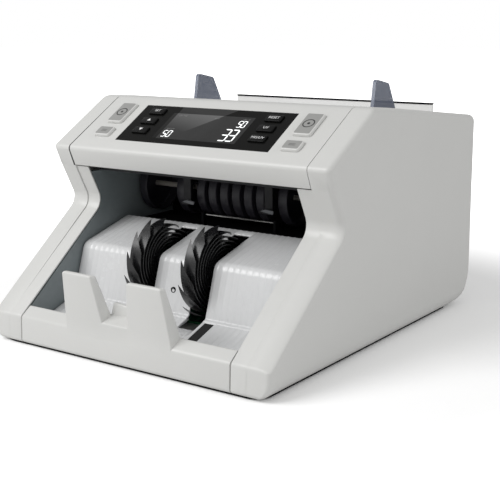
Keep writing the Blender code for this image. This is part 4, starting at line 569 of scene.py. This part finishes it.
def prong(hand, side):
    """A tapered prong of the fence: rings stacked upwards, the last ones closing over its top."""
    corner, ease, back_y, taper = 0.0010, 0.0018, 0.0125, 0.0123
    levels = [(z, 0) for z in np.linspace(FENCE_LOW_Z, FENCE_TOP_Z - ease, 17)[:-1]]
    levels += [(FENCE_TOP_Z - ease * (1 - math.sin(turn)), ease * (1 - math.cos(turn)))
               for turn in np.linspace(0, math.pi / 2, 9)]
    rings = []
    for z, moved in levels:
        share = (z - FENCE_FOOT_Z) / (FENCE_TOP_Z - FENCE_FOOT_Z)
        front, back = float(fence_front(z)), back_y - taper * share
        near, far, far_back, near_back = (
            foot + (top - foot) * share for foot, top in FENCE_EDGES[hand])
        flat = np.array([(near, front), (far, front), (far_back, back), (near_back, back)])
        flat = rounded(inset(flat, moved), max(corner - moved / 2, corner / 2), 5) * (side, 1)
        rings.append(axis_points("Z", flat, z))
    surface(hand + "_prong", np.stack(rings), WHITE, loop_columns=True, caps=True)


def front_cover():
    """The low front cover, a bar of its side view, and the note fence that grows out of its front:
    the web between two prongs and the small ledge behind the web."""
    corners = [(0, UNDERSIDE_Z), (0.015, UNDERSIDE_Z), (0.0142, 0.0258), (0.0097, 0.0276),
               (FOOT_LEAN, FOOT_TOP_Z)]
    half = OPENING_HALF - STRIP_GAP
    radii = [0.003, 0, 0.0012, 0.0016, 0.0035]
    bar("front_cover_bar", corners, radii, -half, half, 0.0003, "X", WHITE, node="front_cover")
    z = np.linspace(FENCE_LOW_Z, 0.0300, 9)
    rear = [(0.0105, 0.0345), (0.0120, 0.0255), (0.004, FENCE_LOW_Z)]
    web = np.concatenate([np.stack([fence_front(z), z], -1), rear])
    radii = np.concatenate([np.zeros(8), [0.0012, 0.0009, 0, 0]])
    bar("fence_web", web, radii, -0.0160, 0.0127, 0, "X", WHITE)
    ledge = [(-0.0150, 0.0290), (0.0100, 0.0290), (0.0080, 0.0412), (-0.0112, 0.0428)]
    radii = [0, 0, 0.0015, 0.0016]
    bar("fence_ledge", ledge, radii, 0.0096, 0.0126, (0.0011, 0.0006), "Y", WHITE)
    for hand, side in HANDS:
        prong(hand, side)


def left_seam():
    """A painted shadow line round the hood's left end, a black ribbon standing in for the shade in
    the seam's gap: along the outline, from inside the brow's arc to inside the lip's, three times
    as wide round the nose as on the slope."""
    edge_x, nose_z, slope_z, nose_width, slope_width = -0.1071, 0.128, 0.145, 0.0016, 0.00055
    proud, brow_skip, lip_skip = 0.00002, 6, 2
    arcs = rounded(inset(OUTLINE, -proud), OUTLINE_RADII, SHELL_STEPS)
    arcs = arcs.reshape(len(OUTLINE), SHELL_STEPS + 1, 2)[BROW_AT:LIP_AT + 1]
    path = arcs.reshape(-1, 2)[brow_skip:-lip_skip]
    wide = np.interp(path[:, 1], (nose_z, slope_z), (nose_width, slope_width))
    x = edge_x - wide[:, None] * (1, 0)
    surface("left_seam_painted_shadow", axis_points("X", path[:, None], x), BLACK, flip=False)


def shells():
    """Every outer white piece, with a black band under the body's edge as painted contact shadow,
    the hood's left seam line as painted shadow, the back rest paler as painted light, and the back
    rest's dark edge.
    """
    for hand, side in HANDS:
        side_panel(hand, side)
        front_strip(hand, side)
    front_cover()
    left_seam()
    for node in ("hood", "top_frame", "rear_cover"):
        eased(node, WHITE, 0.0003, 38)
    eased("hopper_tray", WHITE, 0.0003, 30)
    dressed("base_pan", WHITE)
    # A dull black band just above the floor under the body's edge: painted contact shadow, standing
    # in for the dark gap between the body and the floor
    rim = box_corners(0.2350, 0.2680, (0, 0.1365))
    bar("painted_contact_shadow_band", rim, 0.012, 0.0004, 0.0022, 0.0002, "Z", VOID)
    node, half = "hopper_backrest", 0.0968
    # The back rest's plate in the paler white, its brightness painted light
    plate = [(0.2715, 0.1513), (0.2740, 0.1513), (0.2746, 0.1639), (0.2722, 0.1639)]
    bar("backrest_plate", plate, 0.0003, -half, half, 0.0003, "X", BACKREST_PAINTED_LIGHT, node=node)
    edge, half = [(0.27165, 0.1633), (0.27475, 0.1633), (0.27485, 0.1645), (0.2716, 0.1645)], 0.0969
    bar("backrest_edge", edge, 0.0002, -half, half, 0.0002, "X", VOID)


# ---------------------------------------------------------------- control panel

# Heights out of the slope: the screen's face and prints, the keys' and buttons' tops and prints
SCREEN_TOP, SCREEN_PRINT = 0.00006, 0.00008
KEY_TOP, KEY_PRINT = 0.0013, 0.00134
BUTTON_SHOULDER, BUTTON_TOP, BUTTON_PRINT = 0.0022, 0.0023, 0.00232
PRINT_THICK = 0.00004
KEY_U, KEY_SIZE, BUTTON_U, BUTTON_WIDTH, BUTTON_RIM = 0.0535, (0.014, 0.0072), 0.0855, 0.0146, 0.002

# Text, letter height and (u, v) of the screen's small labels
LABELS = (
    ("label_batch", "BATCH", 0.0021, (-0.0278, 0.0309)),
    ("label_value", "VALUE", 0.0021, (0.0312, 0.0472)),
    ("label_modes", "UV  MG", 0.0023, (-0.0270, 0.0474)),
    ("label_add", "ADD", 0.0023, (0.0050, 0.0466)),
)
# Figures with their lower left and upper right corners and the line's share of the height
FIGURES = (
    ("figures_main", "33", (0.0212, 0.0214), (0.0332, 0.0344), 0.085),
    ("figures_upper", "50", (0.0272, 0.0378), (0.0338, 0.0450), 0.10),
    ("figures_left", "50", (-0.0312, 0.0212), (-0.0238, 0.0284), 0.10),
)
SEGMENTS = {"0": "abcdef", "3": "abgcd", "5": "afgcd"}
# Keys: row, v, and text on the left and right key; the left ones without text carry arrows
KEYS = (
    ("lower", 0.0262, "", "MG/UV"), ("middle", 0.0380, "", "UV"),
    ("upper", 0.0500, "SET", "RESET"))
BUTTONS = (("small", 0.02075, 0.0105), ("large", 0.04475, 0.0245))


def lettering(name, text, size, centre, level, look, body="housing"):
    """Flat print in the hood's slope: the letters' outline filled, its middle moved to (u, v)."""
    curve = bpy.data.curves.new(name, "FONT")
    curve.body, curve.size, curve.fill_mode = text, size, "BOTH"
    curve.align_x, curve.align_y, curve.resolution_u = "CENTER", "CENTER", 3
    thing = bpy.data.objects.new(name + "_curve", curve)
    mesh = bpy.data.meshes.new_from_object(thing)
    bpy.data.objects.remove(thing)
    bpy.data.curves.remove(curve)
    flat = np.empty(len(mesh.vertices) * 3)
    mesh.vertices.foreach_get("co", flat)
    flat = flat.reshape(-1, 3)[:, :2]
    flat += np.array(centre) - (flat.min(0) + flat.max(0)) / 2
    mesh.vertices.foreach_set("co", (axis_points("slope", flat, level) + AWAY).ravel())
    mesh.name = name
    add(name, mesh, look, body)


def plates(name, flats, level, look, body="housing"):
    """Thin flat plates in the slope, one for each outline of as many corners, in one piece."""
    flats = np.asarray(flats, float)
    rings = axis_points("slope", flats[:, None], level + np.array((0, PRINT_THICK))[None, :, None])
    surface(name, rings, look, body, loop_columns=True, caps=True)


def digits(name, text, low, high, line_share):
    """Seven-segment figures: each lit segment a hexagon with pointed ends, in the slope."""
    width_share, gap_share = 0.42, 0.012
    top = high[1] - low[1]
    right, mid, line, gap = top * width_share, top / 2, top * line_share, top * gap_share
    ends = {
        "a": ((0, top), (right, top)), "b": ((right, mid), (right, top)),
        "c": ((right, 0), (right, mid)), "d": ((0, 0), (right, 0)), "e": ((0, 0), (0, mid)),
        "f": ((0, mid), (0, top)), "g": ((0, mid), (right, mid)),
    }
    flats = []
    for place, figure in enumerate(text):
        pitch = (high[0] - low[0] - right) / (len(text) - 1)
        shift = np.array((low[0] + place * pitch, low[1]))
        for segment in SEGMENTS[figure]:
            start, end = np.array(ends[segment], float)
            way = unit(end - start)
            side = np.array((-way[1], way[0])) * line / 2
            start, end = start + way * gap, end - way * gap
            back, ahead = start + way * line / 2, end - way * line / 2
            hexagon = [start, back - side, ahead - side, end, ahead + side, back + side]
            flats.append(np.array(hexagon) + shift)
    plates(name, flats, SCREEN_PRINT, LIT)


def ring_icon(name, centre, body):
    """A flat ring and its middle dot: points at a radius times (cos t, sin t)."""
    outer, line, dot = 0.0046, 0.0008, 0.24
    way, inner, low, high = circle(40), outer - line, BUTTON_PRINT, BUTTON_PRINT + PRINT_THICK
    rings = [axis_points("slope", np.array(centre) + way * radius, level)
             for radius, level in ((outer, low), (outer, high), (inner, high), (inner, low))]
    surface(name, np.stack(rings), INK_DARK, body, loop_rows=True, loop_columns=True)
    plates(name + "_dot", [np.array(centre) + way * outer * dot], BUTTON_PRINT, INK_DARK, body)


def key(name, middle, text, way):
    """A rubber key with its white print, or with an arrow, up or down, where it has no text."""
    body, low = name + "_cap", -0.0052
    corners = box_corners(*KEY_SIZE, middle)
    bar(name + "_cap_top", corners, 0.0012, low, KEY_TOP, (0, 0.0005), "slope", KEY, body, name)
    spot = (middle[0], middle[1] + 0.0004)
    if text:
        lettering(name + "_print", text, 0.0035, spot, KEY_PRINT, INK_WHITE, body)
    else:
        arrow = np.array([(-0.0017, -0.0012), (0.0017, -0.0012), (0, 0.0015)]) * (1, way)
        plates(name + "_print", [arrow[::way] + spot], KEY_PRINT, INK_WHITE, body)


def button(name, middle, height, kind):
    """A two-tone button: a white body, a grey face, and a ring icon or two printed bars."""
    body, low, face_low = name + "_cap", -0.005, 0.0010
    corners = box_corners(BUTTON_WIDTH, height, middle)
    bar(name + "_body", corners, 0.0018, low, BUTTON_SHOULDER, (0, 0.0008), "slope", WHITE, body,
        name)
    corners = box_corners(BUTTON_WIDTH - BUTTON_RIM, height - BUTTON_RIM, middle)
    bar(name + "_face", corners, 0.0010, face_low, BUTTON_TOP, (0, 0.00008), "slope", BUTTON, body)
    if kind == "large":
        ring_icon(name + "_icon", middle, body)
    else:
        marks = [box_corners(0.0052, 0.0007, (middle[0], middle[1] + shift))
                 for shift in (0.0006, -0.0008)]
        plates(name + "_print", marks, BUTTON_PRINT, BUTTON_MARK, body)


def control_panel():
    """The display with its screen and figures, six rubber keys and four two-tone buttons."""
    eased("display_panel", PANEL, 0.0002, 40)
    screen, low = box_corners(0.0752, 0.0312, (0, 0.03435)), -0.0057
    bar("screen_glass", screen, 0.0004, low, SCREEN_TOP, 0.00002, "slope", SCREEN,
        node="lcd_screen")
    for figures in FIGURES:
        digits(*figures)
    for name, text, size, spot in LABELS:
        lettering(name, text, size, spot, SCREEN_PRINT, INK_GREY)
    for hand, side in HANDS:
        for row, v, left_text, right_text in KEYS:
            text, way = left_text if side < 0 else right_text, 1 if row == "middle" else -1
            key(hand + "_" + row + "_key", (side * KEY_U, v), text, way)
        for kind, v, height in BUTTONS:
            button(hand + "_" + kind + "_button", (side * BUTTON_U, v), height, kind)


# ---------------------------------------------------------------- pocket

RIB_PITCH, RIB_PHASE, RIB_DEPTH, RIB_COLUMNS = 0.0053, 0.0400, 0.00022, 403
SLOTS_X = ((-0.0325, -0.0175), (0.0175, 0.0325))
EYE_Z = 0.042


def ribbed(name, path, look, node, slots, thick):
    """A sheet along a side-view path, ribbed across: each point stands off the path, along its
    normal, by the rib depth times (1/2 + 1/2 cos) cubed of x over the pitch, but not in the first
    and last row. Quads inside a slot (low and high x, low and high y) are left out."""
    half = OPENING_HALF - 0.00035
    edges = [x for slot in slots for x in slot[:2]]
    x = np.concatenate([np.linspace(-half, half, RIB_COLUMNS), edges])
    x = np.unique(np.round(x, 7))
    ahead = unit(np.gradient(path, axis=0))
    normal = np.stack([-ahead[:, 1], ahead[:, 0]], -1)
    wave = (0.5 + 0.5 * np.cos(math.tau * (x - RIB_PHASE) / RIB_PITCH)) ** 3 * RIB_DEPTH
    row = np.arange(len(path))
    fade = np.clip(np.minimum(row, row[::-1]), 0, 1)[:, None, None]
    flat = path[:, None] + normal[:, None] * (wave[None, :, None] - RIB_DEPTH) * fade
    mid_x, mid_y = (x[:-1] + x[1:]) / 2, (path[:-1, 0] + path[1:, 0]) / 2
    keep = np.ones((len(path) - 1, len(x) - 1), bool)
    for low_x, high_x, low_y, high_y in slots:
        in_x, in_y = (mid_x > low_x) & (mid_x < high_x), (mid_y > low_y) & (mid_y < high_y)
        keep &= ~(in_x[None, :] & in_y[:, None])
    points = axis_points("X", flat, x[None, :])
    piece = surface(name, points, look, node=node, keep=keep, flip=False, sharp=50)
    wall = piece.modifiers.new("wall", "SOLIDIFY")
    wall.thickness, wall.offset = thick, -1


def deck_and_floor():
    """The pocket's two ribbed sheets, and the sensor's eye in the deck's leaning face. The deck
    goes from a heel on the floor up its face, over the shoulder and back to a flange behind."""
    slot_end_y, slot_front_y = 0.111, 0.042
    foot, shoulder, rear_top, flange = corners = np.array([
        (0.0556, 0.0268), (0.0675, 0.0645), (0.1188, 0.0787), (0.1188, 0.0762)])
    arcs = rounded(corners, [0, 0.009, 0.0012, 0], 10).reshape(4, 11, 2)
    slot_end = at_height(shoulder[::-1], rear_top[::-1], slot_end_y)[::-1]
    front, rear = np.array((0.0153, 0.0126)), np.array((0.0553, 0.0265))
    along = unit(rear - front)
    toe, lift, rise = 0.0034, 0.012, 0.06
    top = foot * (1 - rise) + shoulder * rise
    bend = [rear - along * toe, rear + (shoulder - foot) * lift, top]
    heel = rounded(bend, [0, 0.0022, 0], 6).reshape(3, 7, 2)[1]
    start = [rear - along * 0.0030]
    path = np.concatenate([start, heel, arcs[1], slot_end[None], arcs[2], flange[None]])
    slots = [(low, high, 0, slot_end_y) for low, high in SLOTS_X]
    ribbed("deck_sheet", path, POCKET, "stacker_deck", slots, 0.0012)
    depths = np.array([0.0153, 0.0160, 0.030, slot_front_y, 0.052, 0.0540, 0.0545])
    path = front + (rear - front) * ((depths - front[0]) / (rear[0] - front[0]))[:, None]
    window = (0.035, 0.043, 0.030, 0.052)
    slots = [(low, high, slot_front_y, 1) for low, high in SLOTS_X] + [window]
    ribbed("floor_sheet", path, POCKET, "pocket_floor", slots, 0.0025)
    dressed("floor_sensor_window", SCREEN)
    eye_y = at_height(foot, shoulder, EYE_Z)[0]
    profile = ((0.0022, 0.002), (0.0022, -0.0002), (0.0019, -0.0005), (0.0014, -0.0003),
               (0.0012, 0.0012))
    rings = [axis_points("Y", circle(24) * radius + (0, EYE_Z), eye_y + depth)
             for radius, depth in profile]
    surface("sensor_eye", np.stack(rings), VOID, loop_columns=True, caps=True)


def pocket():
    """The pocket's sheets, its dark walls, the guides behind it and the toes of the fingers."""
    deck_and_floor()
    for hand, _ in HANDS:
        dressed(hand + "_inner_wall", GREY_WALL)
        dressed(hand + "_chassis_plate", ZINC)
    eased("upper_guide", BLACK, 0.0003, 35)
    dressed("rear_guide", VOID)
    dressed("guide_rod", STEEL)
    toe = np.array([(-0.0062, 0.0938), (0.0050, 0.0920), (0.0058, 0.0946), (-0.0014, 0.0954)])
    finger_x, toe_shift = 0.0369, 0.0034
    radii = (0.0002, 0.0005, 0.0005, 0.0005)
    for hand, side in HANDS:
        corners = toe + (side * finger_x + toe_shift, 0)
        bar(hand + "_finger_toe", corners, radii, 0.1204, 0.1216, (0.0002, 0), "Y", TOE)


def fin_wheel(hand, low):
    """A wheel of 13 fins. A fin's outer line winds from the hub over 235 degrees; with s the share
    of the winding, its radius grows by 0.93 s + 0.07 s to the eighth, so that the tips stand off.
    Its inner line lies its thickness further in: a third less at the tip than at the root, and
    over the last fortieth less still, by a square root. The tip is cut back by up to 26 degrees
    from one face of the wheel to the other."""
    hub, rim, count, wrap, cut = 0.0105, 0.036, 13, math.radians(235), math.radians(26)
    width, root_thick, side_radius, collar, ease = 0.0100, 0.0009, 0.0070, 0.0108, 0.0002
    tip_rate, tip_blunt = 40, 0.12
    share, across = np.linspace(0, 1, 49), np.linspace(0, 1, 5)
    wind = (wrap - cut * across)[:, None] * share
    wound = wind / wrap
    radius = hub + (rim - hub) * (0.93 * wound + 0.07 * wound ** 8)
    thick = root_thick * (1 - share / 3) * np.sqrt(np.clip((1 - share) * tip_rate, tip_blunt, 1))
    reach = np.concatenate([radius, (radius - thick)[:, ::-1]], 1)
    turn = np.concatenate([-wind, -wind[:, ::-1]], 1)
    turn = turn[None] + (np.arange(count) * math.tau / count)[:, None, None]
    flat = np.stack([reach * np.cos(turn) + STACKER[0], reach * np.sin(turn) + STACKER[1]], -1)
    points = axis_points("X", flat, (low + width * across)[None, :, None])
    node = hand + "_stacker_wheel"
    surface(node + "_fins", points, FIN, "stacker", node, loop_columns=True, caps=True)
    high = low + width
    section = [(low - 2 * ease, SHAFT_BORE), (low - 2 * ease, side_radius), (low + ease, collar),
               (high - ease, collar), (high + 2 * ease, side_radius), (high + 2 * ease, SHAFT_BORE)]
    spun(node + "_hub", section, STACKER, RUBBER, "stacker")


def drum():
    """The grooved drum, its side discs and the shafts: turned sections with rounded edges."""
    ring, groove, half, pitch, width, count = 0.0212, 0.0155, 0.0326, 0.0112, 0.0076, 6
    section, radii = [], []
    for index in range(count):
        low = (index - (count - 1) / 2) * pitch - width / 2
        high = low + width
        section += [(low, groove), (low, ring), (high, ring), (high, groove)]
        radii += [0.0004, 0.0010, 0.0010, 0.0004]
    section = [(-half, SHAFT_BORE), *section[1:-1], (half, SHAFT_BORE)]
    radii = [0, *radii[1:-1], 0]
    profile = rounded(section[::-1], radii[::-1], 4)
    spun("drum_rings", profile, DRUM, CHARCOAL, "drum", "transport_drum", 96)
    radii = [0, 0, 0.0008, 0.0003, 0.0006, 0.0012, 0.0004, 0.0004]
    for hand, side in HANDS:
        for label, middle in (("inner", 0.048), ("outer", 0.087)):
            low, high = side * middle - 0.0045, side * middle + 0.0045
            section = [
                (low, SHAFT_BORE), (high - 0.0070, SHAFT_BORE), (high - 0.0070, 0.0188),
                (high - 0.0004, 0.0196), (high - 0.0002, ring), (low + 0.0002, ring),
                (low + 0.001, 0.017), (low, groove)]
            node = hand + "_" + label + "_drum_disc"
            profile = rounded(section, radii, 3)
            spun(node + "_ring", profile, DRUM, CHARCOAL, "drum", node, 96)
    dressed("drum_shaft", SHAFT)
    dressed("stacker_shaft", STEEL)


# ---------------------------------------------------------------- hopper, drive and rear

def feed_rollers():
    """The feed rollers' shaft with its pulley, and two tyres whose tread sinks by its depth times
    (1/2 + 1/2 cos 36 t) squared."""
    middle, half, bore, tyre, tread, treads = 0.03, 0.012, 0.0021, 0.0119, 0.00025, 36
    turn = np.linspace(0, math.tau, 4 * treads, endpoint=False)
    for hand, side in HANDS:
        low, high = side * middle - half, side * middle + half
        section = [(low, bore), (high, bore), (high, tyre), (low, tyre)]
        section = rounded(section, [0, 0, 0.0012, 0.0012], 4)
        reach = section[:, 1:]
        reach = reach - tread * (reach > 0.009) * (0.5 + 0.5 * np.cos(treads * turn)) ** 2
        flat = np.array(FEED) + reach[:, :, None] * circle(4 * treads)
        points = axis_points("X", flat, section[:, :1])
        surface(hand + "_feed_tyre", points, RUBBER, "feed", loop_rows=True, loop_columns=True,
                sharp=60)
    end, shaft, flange, groove = 0.1068, 0.002, 0.0115, 0.010
    section = [
        (-end, 0), (-end, shaft), (0.1015, shaft), (0.1015, flange), (0.10195, flange),
        (0.10195, groove), (0.10605, groove), (0.10605, flange), (0.1065, flange),
        (0.1065, shaft), (end, shaft), (end, 0)]
    spun("feed_shaft_bar", section, FEED, STEEL, "feed", "feed_roller", 32, closed=False)


def hopper():
    """The see-through side guides, the feed rollers, and the drive's pieces in their materials."""
    for hand, _ in HANDS:
        eased(hand + "_hopper_guide", SMOKE, 0.0004, 35, hand + "_guide")
    feed_rollers()
    for node, look in (
        ("guide_pinion", BLACK), ("main_belt", BELT), ("stacker_belt", BELT), ("motor", ZINC),
        ("power_supply", ZINC), ("motor_shaft", STEEL), ("main_board", BOARD), ("key_board", BOARD),
    ):
        dressed(node, look)


def rear():
    """The mains inlet with its three pins, the rocker and the rubber feet."""
    eased("inlet_socket", BLACK, 0.0003, 35)
    pins = ((0.004, 0.002, (-0.078, 0.0765)), (0.004, 0.002, (-0.064, 0.0765)),
            (0.002, 0.004, (-0.071, 0.0795)))
    for index, pin in enumerate(pins):
        name, corners = "inlet_pin_" + str(index), box_corners(*pin)
        bar(name, corners, 0.0004, 0.2805, 0.2925, (0, 0.0006), "Y", STEEL)
    eased("power_switch", BLACK, 0.0004, 12, "rocker")
    for end in ("front", "rear"):
        for hand, _ in HANDS:
            eased(end + "_" + hand + "_foot", RUBBER, 0.0004, 35)


# ---------------------------------------------------------------- studio

SKY = 0.47
FLOOR_HALF, FLOOR_GREY = 6, (0.8, 0.8, 0.8)
FLOOR_NEAR, FLOOR_FAR, FLOOR_TONES = 0.25, 0.75, (1.22, 3.5)
# Lamps: place, size and power; all look at a point inside the counter
LIGHTS = (("key", (-0.60, -1.00, 1.00), 0.9, 11.6), ("side", (1.25, 0.10, 0.60), 0.7, 2.7))
LIT_POINT = Vector((0, 0, 0.08))


def white_world():
    """A world that lights softly and is plain white where the camera sees it."""
    graph = Graph("studio", "worlds")
    skies = [graph.node("ShaderNodeBackground", Color=(1, 1, 1), Strength=strength)
             for strength in (SKY, 1.0)]
    graph.by_ray(*skies, "World Output")
    bpy.context.scene.world = graph.owner


def white_floor():
    """A pale floor that keeps the object's shadow and, to the camera, runs out into white: its tone
    grows with the distance from the object's middle."""
    floor = bpy.data.meshes.new("floor")
    corners = box_corners(2 * FLOOR_HALF, 2 * FLOOR_HALF)
    floor.from_pydata([(*corner, 0) for corner in corners.tolist()], [], [(0, 1, 2, 3)])
    ground = bpy.data.objects.new("floor", floor)
    bpy.context.collection.objects.link(ground)
    graph = Graph("floor_paper")
    away = graph.node("ShaderNodeVectorMath", {"operation": "LENGTH"}, 1, **{"0": graph.spot()})
    tone = graph.node("ShaderNodeMapRange", Value=away, From_Min=FLOOR_NEAR, From_Max=FLOOR_FAR,
                      To_Min=FLOOR_TONES[0], To_Max=FLOOR_TONES[1])
    faces = [graph.node("ShaderNodeBsdfDiffuse", Color=colour) for colour in (FLOOR_GREY, tone)]
    graph.by_ray(*faces, "Material Output")
    floor.materials.append(graph.owner)


def lamps():
    """Two soft square lamps: a large one from the front left and a weak one from the right."""
    for name, spot, size, power in LIGHTS:
        data = bpy.data.lights.new(name, "AREA")
        data.shape, data.size, data.energy = "SQUARE", size, power
        lamp = bpy.data.objects.new(name, data)
        bpy.context.collection.objects.link(lamp)
        lamp.location = spot
        lamp.rotation_euler = (LIT_POINT - Vector(spot)).to_track_quat("-Z", "Y").to_euler()


def camera():
    """The photograph's camera, solved from its edges: place, turn about the upright, tilt and
    slight roll, with the focal length and the principal point in pixels of its 500."""
    place, picture, sensor = (0.46859, -0.49642 - FOOT_TO_MIDDLE, 0.23382), 500, 36
    focal, centre_x, centre_y = 1044.2, 255.42, 248.59
    data = bpy.data.cameras.new("camera")
    lens = bpy.data.objects.new("camera", data)
    bpy.context.collection.objects.link(lens)
    data.sensor_width, data.lens, data.clip_start = sensor, focal / picture * sensor, 0.01
    data.shift_x = (picture / 2 - centre_x) / picture
    data.shift_y = (centre_y - picture / 2) / picture
    turn, tilt, roll = math.radians(35.42), math.radians(12.57), math.radians(-0.383)
    level = math.cos(tilt)
    ahead = Vector((-math.sin(turn) * level, math.cos(turn) * level, -math.sin(tilt)))
    right = ahead.cross((0, 0, 1)).normalized()
    up = right.cross(ahead)
    columns = (right * math.cos(roll) + up * math.sin(roll),
               up * math.cos(roll) - right * math.sin(roll), -ahead)
    turned = Matrix(columns).transposed().to_4x4()
    lens.matrix_world = Matrix.Translation(place) @ turned
    bpy.context.scene.camera = lens


shells()
control_panel()
pocket()
fin_wheel("left", -0.0315)
fin_wheel("right", 0.0185)
drum()
hopper()
rear()
white_world()
white_floor()
lamps()
camera()
bpy.context.scene.view_settings.view_transform = "Standard"
